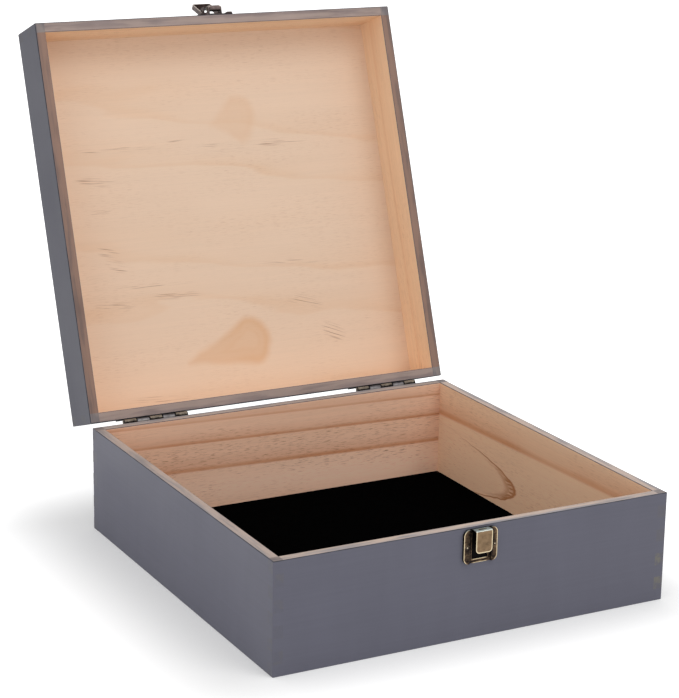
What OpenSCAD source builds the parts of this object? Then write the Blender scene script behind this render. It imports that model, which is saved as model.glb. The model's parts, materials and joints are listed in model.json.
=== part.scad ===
// Keepsake box of pine boards: finger-jointed base and hinged lid, a felt floor,
// two back hinges with a stop, and a draw latch at the front.
// Millimetres. Origin at the middle of the base's underside, +Z up, front towards -Y.
// The lid stands open against its hinge stops, as the box is shown.

/* [Box] */
// Outside width, left to right
box_w = 330; // [240:5:420]
// Outside depth, front to back
box_d = 330; // [200:5:420]
// Height of the base
base_h = 86; // [60:1:140]
// Height of the lid
lid_h = 43; // [42:1:80]
// Thickness of the wall boards
wall_t = 8; // [7.5:0.5:12]
// Gap between the closed lid and the base
seam_gap = 0.3; // [0.2:0.1:0.8]
// How far the lid opens
open_angle = 109.5; // [95:0.5:120]

/* [Corner joints] */
// Fingers up each corner of the base, an odd number
base_fingers = 9; // [5:2:13]
// Fingers up each corner of the lid, an even number
lid_fingers = 4; // [2:2:6]

/* [Panels and felt] */
// Thickness of the plywood panels in the lid and the bottom
panel_t = 3.2; // [2.4:0.2:5]
// Width of the ledge that holds a panel in each wall
ledge_w = 4; // [2:0.5:5]
// Play between a panel's edge and its ledge
panel_play = 0.2; // [0.1:0.1:0.6]
// Thickness of the felt on the floor
felt_t = 2; // [1:0.5:4]
// Bare floor left between the felt and the walls
felt_margin = 0.8; // [0.4:0.2:3]

/* [Hinges] */
// Length of each hinge along the back
hinge_len = 57; // [45:1:75]
// Side of the box to the near end of each hinge
hinge_edge = 28; // [12:1:36]
// Thickness of the hinge leaves
leaf_t = 1; // [0.8:0.1:1.4]
// Hinge axis to the far edge of a leaf
leaf_h = 17; // [14:0.5:20]
// Outer radius of the hinge barrel
barrel_r = 2.3; // [2.1:0.1:3]
// Radius of the hinge pin
hinge_pin_r = 1.2; // [1:0.1:1.3]
// Knuckles along one hinge
knuckles = 5; // [5:2:7]
// Gap between neighbouring knuckles
knuckle_gap = 0.2; // [0.1:0.1:0.4]
// Gap between the barrel and the wood
barrel_gap = 0.3; // [0.2:0.1:0.8]
// Length of the hinge's stop fins, measured out from the barrel
fin_len = 3; // [2:0.5:4]
// Thickness of the stop fins
fin_t = 1; // [0.8:0.1:1.4]

/* [Latch] */
// Thickness of the latch's sheet metal
sheet_t = 0.9; // [0.7:0.1:1.1]
// Height of the raised flanges of both plates
flange_h = 2.2; // [1.8:0.1:2.3]
// Width of the strike plate on the base
strike_w = 28; // [26:0.5:34]
// Height of the strike plate
strike_h = 26; // [23:0.5:32]
// Top of the strike plate below the base's rim
strike_drop = 1.5; // [0.5:0.5:3]
// Width of the strike's hook
hook_w = 13.6; // [11:0.2:14]
// How far the hook stands out from the wood
hook_out = 7; // [6.6:0.1:7.6]
// Length of the hook down its front
hook_len = 17; // [12:0.5:18]
// Width of the lid's latch plate
plate_w = 30; // [28:0.5:36]
// Height of the lid's latch plate
plate_h = 18.5; // [17:0.5:22]
// Bottom of the latch plate above the lid's rim
plate_rise = 1; // [0.5:0.5:2]
// Lever pivot's height above the lid's rim
pivot_rise = 7.5; // [7:0.5:9]
// Lever pivot's distance out from the wood
pivot_out = 6.8; // [6.4:0.1:7.4]
// Outer radius of the lever's rolled end
roll_r = 2.6; // [2.3:0.1:2.8]
// Lever pivot to the bail pivot, along the lid wall
throw = 8.9; // [8.4:0.1:9.6]
// Width of the lever
lever_w = 14.4; // [13.4:0.2:14.8]
// Straight part of the lever, from its pivot to its upward curve
lever_flat = 12; // [11.5:0.5:14]
// Radius of the lever's upward curve
lever_curve_r = 36; // [34:1:40]
// Angle that the lever's curve turns through
lever_curve = 27; // [24:1:28]
// Width of the bail's strap
strap_w = 4.2; // [3.6:0.1:4.4]
// Radius of the lever's pin
lever_pin_r = 1; // [0.8:0.1:1.2]
// Radius of the bail's pin
bail_pin_r = 0.8; // [0.6:0.1:1]
// Swing of the bail from its latched line to where it lies on the lever
bail_rest = 147; // [140:1:147]

/* [Nails] */
// Radius of a nail's shank
nail_r = 0.8; // [0.6:0.1:0.9]
// Radius of a nail's domed head
nail_head_r = 1.7; // [1.4:0.1:1.9]
// Length of a nail's shank in the wood
nail_len = 5.5; // [4:0.5:6]

/* [Fits] */
// Running clearance round a turning pin
run_fit = 0.05; // [0.02:0.01:0.1]
// Clearance round a fixed pin or nail
fixed_fit = 0.01; // [0.01:0.01:0.05]

/* [Hidden] */

$fn = 48;
cut = 1;                                  // how far a cutting shape passes the surface it cuts

front_y = -box_d / 2;
back_y = box_d / 2;
lid_z = base_h + seam_gap;                // underside of the closed lid
lid_top_z = lid_z + lid_h;

axis_y = back_y + barrel_gap + barrel_r;
axis_z = base_h + seam_gap / 2;
hinge_x = box_w / 2 - hinge_edge - hinge_len / 2;
knuckle_len = hinge_len / knuckles;
leaf_notch = barrel_r + barrel_gap;       // leaf edge to the axis beside the other leaf's knuckles
fin_angle = (180 - open_angle) / 2;       // where the two fins meet, from straight down
fin_clear = 0.3;                          // fin to the other leaf's knuckle
fin_knuckles = 3;                         // knuckles that the fins pass, in the hinge's middle
fin_inset = 0.2;                          // fin's end in from the end of its knuckle
hinge_nail_spots = [-0.36, 0, 0.36];      // along the hinge, as shares of its length
hinge_nail_low = 0.62;                    // outer nails, as a share of the leaf's height
hinge_nail_high = 0.45;                   // middle nail

strike_top = base_h - strike_drop;
strike_corner = 4.5;                      // radius of the plate's corners
strike_bar = 3;                           // height of the bar under the window
hook_bend = 1.4;                          // outer radius of the hook's fold
hook_corner = 3;                          // radius of the hook's lower corners
hook_slot_w = 7;                          // slot in the hook's top
hook_slot_h = 1.8;

plate_z = lid_z + plate_rise;
plate_corner = 3.5;
ear_gap = 0.2;                            // between the rolled end and each ear
roll_w = 10;                              // width of the lever's rolled end
ear_r = 2.2;
ear_x = roll_w / 2 + ear_gap;             // inner face of each ear
plate_nail_edge = 3.1;                    // middle of a nail to the plate's end
window_h = 10;                            // window in the plate, behind the rolled end
window_rise = 1;                          // its middle above the lever's pivot

pivot_y = front_y - pivot_out;
pivot_z = lid_z + pivot_rise;
bail_shift = 0.1;                         // bail's middle out from midway to the hook's front
bail_out = hook_out / 2 + bail_shift;
bail_y = front_y - bail_out;
bail_z = pivot_z + throw;
bar_clear = 0.5;                          // latched bar to the hook's underside
bar_z = strike_top - sheet_t - bar_clear - sheet_t / 2;
bail_len = bail_z - bar_z;                // bail pivot to the middle of the bar
bail_gap = 0.4;                           // bail's legs to the lever's cheeks
bail_in = lever_w / 2 + bail_gap;         // inner face of each leg
bail_corner = 2;
flange_clear = 0.5;                       // bail's legs to the plates' flanges
flange_from = bail_in + sheet_t + flange_clear; // middle of a plate to each flange
strike_nail_x = (strike_w / 2 + flange_from) / 2;
cheek_r = 2;
cheek_x = lever_w / 2 - sheet_t;          // inner face of each cheek
cheek_from = 4.5;                         // cheeks start this far above the lever's pivot
cheek_foot = 1;                           // and end this far above their round ends
lever_corner = 1.5;
lever_neck = 4;                           // the lever is only as wide as its roll up to here
tip_roll_r = 1.1;
waist_r = 26;                             // radius of the hollow in each side of the handle
waist_in = 1.6;                           // depth of that hollow
waist_up = 0.45;                          // its place, as a share of the curved part's length
rivet_h = 0.5;                            // height of the pins' riveted heads
rivet_r = 0.5;                            // how far those heads stand past the pins
nail_dome = 1.5;                          // a nail head's dome, as a share of its radius

// Turns what is drawn on the closed lid to where the open lid carries it.
module on_open_lid() {
    translate([0, axis_y, axis_z])
        rotate([-open_angle, 0, 0])
            translate([0, -axis_y, -axis_z])
                children();
}

// Extrudes a flat shape drawn as (outward from the front face, height) across X.
module across(x0, x1) {
    translate([x0, front_y, 0])
        rotate([90, 0, -90])
            mirror([0, 0, 1])
                linear_extrude(x1 - x0)
                    children();
}

// Extrudes a flat shape drawn as (x, height) outward from the front face.
module outward(o0, o1) {
    translate([0, front_y - o0, 0])
        rotate([90, 0, 0])
            linear_extrude(o1 - o0)
                children();
}

// A flat rectangle centred on x, from height z0 to z1, with round corners.
module round_plate(w, z0, z1, r) {
    translate([-w / 2 + r, z0])
        square([w - 2 * r, z1 - z0]);
    translate([-w / 2, z0 + r])
        square([w, z1 - z0 - 2 * r]);
    for (x = [-w / 2 + r, w / 2 - r], z = [z0 + r, z1 - r])
        translate([x, z])
            circle(r);
}

// ---------- boards ----------

// Height of finger edge i, to a hundredth, so that neighbouring boards meet exactly.
function finger_edge(i, h, fingers) = round(100 * i * h / fingers) / 100;

// A board along X, from y = 0 to its thickness, notched at both ends for its
// neighbours' fingers: each second finger place is open, from gap_first up.
module board(len, h, fingers, gap_first) {
    difference() {
        translate([-len / 2, 0, 0])
            cube([len, wall_t, h]);
        for (side = [-1, 1], i = [gap_first:2:fingers - 1]) {
            low = i == 0 ? -cut : finger_edge(i, h, fingers);
            high = i == fingers - 1 ? h + cut : finger_edge(i + 1, h, fingers);
            translate([side * len / 2 - wall_t, -cut, low])
                cube([2 * wall_t, wall_t + 2 * cut, high - low]);
        }
    }
}

// A plywood panel that lies on the ledges of four boards; play widens its seat.
module panel(z, play) {
    w = box_w - 2 * wall_t + 2 * (ledge_w - panel_play) + 2 * play;
    d = box_d - 2 * wall_t + 2 * (ledge_w - panel_play) + 2 * play;
    translate([-w / 2, -d / 2, z])
        cube([w, d, panel_t]);
}

module base_seat() {
    panel(0, panel_play);
}

module lid_seat() {
    panel(lid_top_z - panel_t, panel_play);
}

module base_front_wall() {
    color("#64646f")
        difference() {
            translate([0, front_y, 0])
                board(box_w, base_h, base_fingers, 1);
            base_seat();
            strike_nail_set(nail_r + fixed_fit);
        }
}

module base_back_wall() {
    color("#64646f")
        difference() {
            translate([0, back_y - wall_t, 0])
                board(box_w, base_h, base_fingers, 1);
            base_seat();
            hinge_nail_set(-1, nail_r + fixed_fit);
        }
}

module base_side(side) {
    color("#6b6c74")
        difference() {
            translate([side * (box_w - wall_t) / 2 + wall_t / 2, 0, 0])
                rotate([0, 0, 90])
                    board(box_d, base_h, base_fingers, 0);
            base_seat();
        }
}

module base_left_wall() {
    base_side(-1);
}

module base_right_wall() {
    base_side(1);
}

module base_bottom_panel() {
    color("#d9bd9a")
        panel(0, 0);
}

module floor_lining() {
    w = box_w - 2 * wall_t - 2 * felt_margin;
    d = box_d - 2 * wall_t - 2 * felt_margin;
    color("#0b0b0c")
        translate([-w / 2, -d / 2, panel_t])
            cube([w, d, felt_t]);
}

module lid_front_wall() {
    color("#66676c")
        on_open_lid()
            difference() {
                translate([0, front_y, lid_z])
                    board(box_w, lid_h, lid_fingers, 0);
                lid_seat();
                plate_nail_set(nail_r + fixed_fit);
            }
}

module lid_back_wall() {
    color("#66676c")
        on_open_lid()
            difference() {
                translate([0, back_y - wall_t, lid_z])
                    board(box_w, lid_h, lid_fingers, 0);
                lid_seat();
                hinge_nail_set(1, nail_r + fixed_fit);
            }
}

module lid_side(side) {
    color("#66686c")
        on_open_lid()
            difference() {
                translate([side * (box_w - wall_t) / 2 + wall_t / 2, 0, lid_z])
                    rotate([0, 0, 90])
                        board(box_d, lid_h, lid_fingers, 1);
                lid_seat();
            }
}

module lid_left_wall() {
    lid_side(-1);
}

module lid_right_wall() {
    lid_side(1);
}

module lid_top_panel() {
    color("#ddbfa2")
        on_open_lid()
            panel(lid_top_z - panel_t, 0);
}

// ---------- nails ----------

// A nail driven along +Y into the wood, whose face is at y = 0; its plate is t thick.
module nail(t) {
    dome_r = nail_head_r * nail_dome;
    dome_h = dome_r - sqrt(dome_r * dome_r - nail_head_r * nail_head_r);
    translate([0, -t, 0])
        rotate([-90, 0, 0])
            cylinder(r = nail_r, h = nail_len + t);
    intersection() {
        translate([0, -t - dome_h + dome_r, 0])
            sphere(dome_r);
        translate([0, -t - dome_h, 0])
            rotate([-90, 0, 0])
                cylinder(r = nail_head_r, h = dome_h);
    }
}

// The hole for such a nail, through whichever plate it holds and as deep as its shank.
module nail_hole(r) {
    out = max(leaf_t, flange_h) + cut;
    translate([0, -out, 0])
        rotate([-90, 0, 0])
            cylinder(r = r, h = out + nail_len);
}

// Where the nails of both hinges go: side -1 for the base, 1 for the lid.
module hinge_nail_places(side) {
    for (hinge = [-1, 1], spot = hinge_nail_spots) {
        share = spot == 0 ? hinge_nail_high : hinge_nail_low;
        translate([hinge * hinge_x + spot * hinge_len, back_y, axis_z + side * leaf_h * share])
            rotate([0, 0, 180])
                children();
    }
}

module hinge_nail_set(side, r) {
    hinge_nail_places(side)
        nail_hole(r);
}

module hinge_base_nails() {
    color("#5a4a34")
        hinge_nail_places(-1)
            nail(leaf_t);
}

module hinge_lid_nails() {
    color("#5a4a34")
        on_open_lid()
            hinge_nail_places(1)
                nail(leaf_t);
}

module strike_nail_places() {
    for (side = [-1, 1])
        translate([side * strike_nail_x, front_y, strike_top - strike_h / 2])
            children();
}

module strike_nail_set(r) {
    strike_nail_places()
        nail_hole(r);
}

module strike_nails() {
    color("#5a4a34")
        strike_nail_places()
            nail(flange_h);
}

module plate_nail_places() {
    for (side = [-1, 1])
        translate([side * (plate_w / 2 - plate_nail_edge), front_y, plate_z + plate_h / 2])
            children();
}

module plate_nail_set(r) {
    plate_nail_places()
        nail_hole(r);
}

module latch_plate_nails() {
    color("#5a4a34")
        on_open_lid()
            plate_nail_places()
                nail(flange_h);
}

// ---------- hinges ----------

// A radial stop fin beside the barrel, its stop face at angle a from straight down.
module fin(a, stop_side, from_r, x0, x1) {
    translate([x0, axis_y, axis_z])
        rotate([a, 0, 0])
            translate([0, stop_side > 0 ? -fin_t : 0, -barrel_r - fin_len])
                cube([x1 - x0, fin_t, barrel_r + fin_len - from_r]);
}

// One closed hinge leaf about x = 0: side -1 for the base, 1 for the lid.
module leaf(side) {
    first = side < 0 ? 0 : 1;
    a = side < 0 ? fin_angle : fin_angle + open_angle;
    middle = (knuckles - 1) / 2;
    root_inset = knuckle_gap / 2 + fin_inset;
    fin_half = fin_knuckles / 2 * knuckle_len - root_inset;
    difference() {
        union() {
            translate([-hinge_len / 2, back_y, side < 0 ? axis_z - leaf_h : axis_z + leaf_notch])
                cube([hinge_len, leaf_t, leaf_h - leaf_notch]);
            for (i = [0:knuckles - 1])
                if (i % 2 == first)
                    knuckle(i, side);
            fin(a, -side, barrel_r + fin_clear, -fin_half, fin_half);
            for (i = [0:knuckles - 1])
                if (i % 2 == first && abs(i - middle) < fin_knuckles / 2)
                    fin(a, -side, hinge_pin_r, knuckle_x(i) + root_inset,
                        knuckle_x(i + 1) - root_inset);
        }
        translate([-hinge_len / 2 - cut, axis_y, axis_z])
            rotate([0, 90, 0])
                cylinder(r = hinge_pin_r + run_fit, h = hinge_len + 2 * cut);
        for (spot = hinge_nail_spots) {
            share = spot == 0 ? hinge_nail_high : hinge_nail_low;
            translate([spot * hinge_len, back_y, axis_z + side * leaf_h * share])
                rotate([0, 0, 180])
                    nail_hole(nail_r + fixed_fit);
        }
    }
}

function knuckle_x(i) = -hinge_len / 2 + i * knuckle_len;

// Knuckle i, with the strip of leaf that joins it.
module knuckle(i, side) {
    x0 = knuckle_x(i) + knuckle_gap / 2;
    len = knuckle_len - knuckle_gap;
    translate([x0, axis_y, axis_z])
        rotate([0, 90, 0])
            cylinder(r = barrel_r, h = len);
    translate([x0, back_y, side < 0 ? axis_z - leaf_notch : axis_z])
        cube([len, leaf_t, leaf_notch]);
}

module hinge_left_base_leaf() {
    color("#6a5a42")
        translate([-hinge_x, 0, 0])
            leaf(-1);
}

module hinge_right_base_leaf() {
    color("#6a5a42")
        translate([hinge_x, 0, 0])
            leaf(-1);
}

module hinge_left_lid_leaf() {
    color("#5c5c60")
        on_open_lid()
            translate([-hinge_x, 0, 0])
                leaf(1);
}

module hinge_right_lid_leaf() {
    color("#5c5c60")
        on_open_lid()
            translate([hinge_x, 0, 0])
                leaf(1);
}

module hinge_pin(x) {
    color("#4a4038")
        translate([x - hinge_len / 2, axis_y, axis_z])
            rotate([0, 90, 0])
                cylinder(r = hinge_pin_r, h = hinge_len);
}

module hinge_left_pin() {
    hinge_pin(-hinge_x);
}

module hinge_right_pin() {
    hinge_pin(hinge_x);
}

// ---------- latch ----------

// Side outline of the hook: out along its top, then down, with a round fold.
module hook_side() {
    difference() {
        union() {
            translate([0, strike_top - sheet_t])
                square([hook_out - hook_bend, sheet_t]);
            translate([hook_out - sheet_t, strike_top - hook_len])
                square([sheet_t, hook_len - hook_bend]);
            translate([hook_out - hook_bend, strike_top - hook_bend])
                circle(hook_bend);
        }
        translate([hook_out - hook_bend, strike_top - hook_bend])
            circle(hook_bend - sheet_t);
        translate([0, strike_top - hook_len - cut])
            square([hook_out - sheet_t, hook_len + cut - hook_bend]);
        translate([0, strike_top - hook_bend - cut])
            square([hook_out - hook_bend, hook_bend + cut - sheet_t]);
    }
}

// A stamped plate between heights z0 and z1: flat in the middle, with a raised flange at each
// end that is hollow behind.
module stamped_plate(w, z0, z1, r) {
    root = flange_from + sheet_t;
    difference() {
        union() {
            outward(0, sheet_t)
                round_plate(w, z0, z1, r);
            outward(0, flange_h)
                difference() {
                    round_plate(w, z0, z1, r);
                    translate([-flange_from, z0 - cut])
                        square([2 * flange_from, z1 - z0 + 2 * cut]);
                }
        }
        outward(-cut, flange_h - sheet_t)
            difference() {
                round_plate(w - 2 * sheet_t, z0 + sheet_t, z1 - sheet_t, r - sheet_t);
                translate([-root, z0 - cut])
                    square([2 * root, z1 - z0 + 2 * cut]);
            }
    }
}

module latch_strike() {
    under = strike_top - sheet_t;
    color("#66553c") {
        difference() {
            union() {
                difference() {
                    stamped_plate(strike_w, strike_top - strike_h, strike_top, strike_corner);
                    outward(-cut, sheet_t + cut)
                        translate([-hook_w / 2, strike_top - strike_h + strike_bar])
                            square([hook_w, strike_h - strike_bar + cut]);
                }
                intersection() {
                    across(-hook_w / 2, hook_w / 2)
                        hook_side();
                    outward(-cut, hook_out + cut)
                        round_plate(hook_w, strike_top - hook_len, strike_top + hook_len, hook_corner);
                }
                outward(0, sheet_t)
                    translate([-hook_w / 2 - cut, under])
                        square([hook_w + 2 * cut, sheet_t]);
            }
            strike_nail_set(nail_r + fixed_fit);
            translate([0, front_y - hook_out / 2, under - cut])
                linear_extrude(sheet_t + 2 * cut)
                    slot(hook_slot_w, hook_slot_h);
        }
    }
}

// A flat slot with round ends, centred.
module slot(w, h) {
    square([w - h, h], center = true);
    for (side = [-1, 1])
        translate([side * (w - h) / 2, 0])
            circle(h / 2);
}

module latch_plate() {
    color("#5f5140")
        on_open_lid()
            difference() {
                union() {
                    difference() {
                        stamped_plate(plate_w, plate_z, plate_z + plate_h, plate_corner);
                        outward(-cut, sheet_t + cut)
                            translate([-roll_w / 2, pivot_z - window_h / 2 + window_rise])
                                square([roll_w, window_h]);
                    }
                    for (side = [-1, 1])
                        ear(side);
                }
                lever_axis_cut(lever_pin_r + fixed_fit);
                plate_nail_set(nail_r + fixed_fit);
            }
}

// One ear of the bracket: a foot on the plate with a round end about the lever's pin.
module ear(side) {
    x0 = side > 0 ? ear_x : -ear_x - sheet_t;
    across(x0, x0 + sheet_t) {
        translate([pivot_out, pivot_z])
            circle(ear_r);
        translate([sheet_t, pivot_z - ear_r])
            square([pivot_out - sheet_t, 2 * ear_r]);
    }
}

module lever_axis_cut(r) {
    translate([-plate_w / 2, pivot_y, pivot_z])
        rotate([0, 90, 0])
            cylinder(r = r, h = plate_w);
}

module bail_axis_cut(r) {
    translate([-plate_w / 2, bail_y, bail_z])
        rotate([0, 90, 0])
            cylinder(r = r, h = plate_w);
}

// Side outline of the lever: a rolled end, a straight, an upward curve and a rolled tip.
module lever_side() {
    top = pivot_out + roll_r;
    curve_z = pivot_z + lever_flat;
    translate([pivot_out, pivot_z])
        circle(roll_r);
    translate([top - sheet_t, pivot_z])
        square([sheet_t, lever_flat]);
    translate([top + lever_curve_r, curve_z]) {
        intersection() {
            difference() {
                circle(lever_curve_r + sheet_t, $fn = 180);
                circle(lever_curve_r, $fn = 180);
            }
            polygon([[0, 0], [-2 * lever_curve_r, 0],
                [-2 * lever_curve_r, 2 * lever_curve_r * tan(lever_curve)]]);
        }
        rotate([0, 0, 180 - lever_curve])
            translate([lever_curve_r + sheet_t - tip_roll_r, 0])
                circle(tip_roll_r);
    }
}

// Plan outline of the lever as (x, height): a narrow neck, then a waisted handle.
module lever_plan() {
    tip_z = pivot_z + lever_flat + (lever_curve_r + sheet_t) * sin(lever_curve) + tip_roll_r;
    waist_z = pivot_z + lever_flat + lever_curve_r * sin(lever_curve) * waist_up;
    translate([-roll_w / 2, pivot_z - roll_r])
        square([roll_w, roll_r + lever_neck + cut]);
    difference() {
        round_plate(lever_w, pivot_z + lever_neck, tip_z, lever_corner);
        for (side = [-1, 1])
            translate([side * (lever_w / 2 - waist_in + waist_r), waist_z])
                circle(waist_r, $fn = 120);
    }
}

// One cheek of the lever, which carries the bail's pin.
module cheek(x0) {
    under = pivot_out + roll_r - sheet_t / 2;
    across(x0, x0 + sheet_t) {
        translate([bail_out, bail_z])
            circle(cheek_r);
        polygon([[under, pivot_z + cheek_from], [under, bail_z + cheek_r + cheek_foot],
            [bail_out, bail_z + cheek_r], [bail_out, bail_z - cheek_r]]);
    }
}

module latch_lever() {
    color("#4b4038")
        on_open_lid()
            difference() {
                union() {
                    intersection() {
                        across(-lever_w, lever_w)
                            lever_side();
                        outward(-cut, pivot_out + roll_r + lever_curve_r)
                            lever_plan();
                    }
                    cheek(cheek_x);
                    cheek(-cheek_x - sheet_t);
                }
                lever_axis_cut(lever_pin_r + run_fit);
                bail_axis_cut(bail_pin_r + fixed_fit);
            }
}

// A pin along X through p with riveted ends: half its length to each side.
module riveted_pin(y, z, r, half) {
    translate([-half - rivet_h, y, z])
        rotate([0, 90, 0])
            cylinder(r = r, h = 2 * (half + rivet_h));
    for (x = [-half - rivet_h, half])
        translate([x, y, z])
            rotate([0, 90, 0])
                cylinder(r = r + rivet_r, h = rivet_h);
}

module lever_pin() {
    color("#7a6648")
        on_open_lid()
            riveted_pin(pivot_y, pivot_z, lever_pin_r, ear_x + sheet_t);
}

module bail_pin() {
    color("#7a6648")
        on_open_lid()
            riveted_pin(bail_y, bail_z, bail_pin_r, bail_in + sheet_t);
}

// Front outline of the bail: a strap bent round three sides of its loop.
module bail_front() {
    out = bail_in + sheet_t;
    low = bar_z - sheet_t / 2;
    high = bail_z + strap_w;
    difference() {
        round_plate(2 * out, low, high + bail_corner, bail_corner);
        round_plate(2 * bail_in, low + sheet_t, high + bail_corner + cut, bail_corner - sheet_t);
    }
}

// Side outline of the bail: a straight strap with a round end about its pin.
module bail_side() {
    translate([bail_out - strap_w / 2, bar_z - sheet_t])
        square([strap_w, bail_len + sheet_t]);
    translate([bail_out, bail_z])
        circle(strap_w / 2);
}

module latch_bail() {
    color("#5a4c3c")
        on_open_lid()
            translate([0, bail_y, bail_z])
                rotate([-bail_rest, 0, 0])
                    translate([0, -bail_y, -bail_z])
                        difference() {
                            intersection() {
                                outward(0, hook_out)
                                    bail_front();
                                across(-lever_w, lever_w)
                                    bail_side();
                            }
                            bail_axis_cut(bail_pin_r + run_fit);
                        }
}

base_front_wall();
base_back_wall();
base_left_wall();
base_right_wall();
base_bottom_panel();
floor_lining();
lid_front_wall();
lid_back_wall();
lid_left_wall();
lid_right_wall();
lid_top_panel();
hinge_left_base_leaf();
hinge_right_base_leaf();
hinge_left_lid_leaf();
hinge_right_lid_leaf();
hinge_left_pin();
hinge_right_pin();
hinge_base_nails();
hinge_lid_nails();
latch_strike();
strike_nails();
latch_plate();
latch_plate_nails();
latch_lever();
lever_pin();
latch_bail();
bail_pin();
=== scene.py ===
"""A keepsake box of stained pine boards, its lid open, with felt, hinges and a draw latch.

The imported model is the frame. Each board and fitting is made again from its own solid, with eased
edges and coordinates of its own, and is dressed in a procedural wood, felt or metal finish.
"""
import json
import logging
import math
from dataclasses import dataclass
from enum import Enum

import bmesh
import bpy
from mathutils import Matrix, Vector, noise
from mathutils.kdtree import KDTree


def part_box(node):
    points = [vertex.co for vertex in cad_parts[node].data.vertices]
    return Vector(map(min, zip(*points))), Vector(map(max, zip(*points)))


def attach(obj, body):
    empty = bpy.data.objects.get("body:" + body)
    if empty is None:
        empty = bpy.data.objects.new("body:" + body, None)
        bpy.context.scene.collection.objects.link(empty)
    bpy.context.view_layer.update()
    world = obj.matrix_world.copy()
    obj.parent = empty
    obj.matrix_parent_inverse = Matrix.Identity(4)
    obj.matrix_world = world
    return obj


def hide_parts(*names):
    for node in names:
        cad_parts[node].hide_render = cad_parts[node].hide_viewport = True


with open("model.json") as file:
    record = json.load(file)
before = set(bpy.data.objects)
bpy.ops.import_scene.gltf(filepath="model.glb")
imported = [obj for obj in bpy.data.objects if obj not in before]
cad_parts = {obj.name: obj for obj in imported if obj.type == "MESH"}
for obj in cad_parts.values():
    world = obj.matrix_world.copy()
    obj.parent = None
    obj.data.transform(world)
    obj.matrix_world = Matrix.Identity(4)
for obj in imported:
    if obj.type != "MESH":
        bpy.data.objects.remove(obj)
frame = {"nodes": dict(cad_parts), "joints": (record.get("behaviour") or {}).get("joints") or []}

LOG = logging.getLogger("keepsake_box")
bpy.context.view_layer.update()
Colour = tuple[float, float, float, float]
Triple = tuple[float, float, float]
ORIGIN = (0.0, 0.0, 0.0)
MM = 0.001

# Points closer than WELD are one, and faces that meet at less than FLAT are one flat face. A
# point within CUT of a cutting plane isn't cut, and one within NEAR of a plane of the box lies
# on it. A face looks along a direction where the cosine between them is above FACING, and at
# least leans that way above LEANING.
WELD = 0.002 * MM
FLAT = math.radians(0.6)
CUT = 0.001 * MM
NEAR = 0.05 * MM
FACING = 0.7
LEANING = 0.5


def srgb(red: int, green: int, blue: int) -> Colour:
    """Turns a display colour from 0 to 255 into the linear colour that a shader takes."""
    def linear(part: int) -> float:
        """One part of the colour, linear."""
        share = part / 255
        return share / 12.92 if share <= 0.04045 else ((share + 0.055) / 1.055) ** 2.4
    return (linear(red), linear(green), linear(blue), 1.0)


class Zone(Enum):
    """The kinds of surface on a board, in the order of its material slots."""

    OUTSIDE = 0
    END_GRAIN = 1
    RIM = 2
    INSIDE = 3
    CORNER = 4


class Carrier(Enum):
    """The body that a piece rides on."""

    BASE = "base"
    LID = "lid"
    LEVER = "lever"
    BAIL = "bail"

    def closed(self) -> Matrix:
        """The move from where the body stands to where it lies when the lid is shut."""
        if self is Carrier.BASE:
            return Matrix.Identity(4)
        pivot = joint_place("lid_hinge")
        turn = Matrix.Rotation(joint_reach("lid_hinge"), 4, "X")
        return Matrix.Translation(pivot) @ turn @ Matrix.Translation(-pivot)


def joint_place(name: str) -> Vector:
    """Where a joint's axis passes at rest."""
    return Vector(next(j["pos_m"] for j in frame["joints"] if j["name"] == name))


def joint_reach(name: str) -> float:
    """A joint's upper limit, in radians."""
    return math.radians(next(j["range_deg"][1] for j in frame["joints"] if j["name"] == name))


# ---------- node trees ----------

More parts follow.
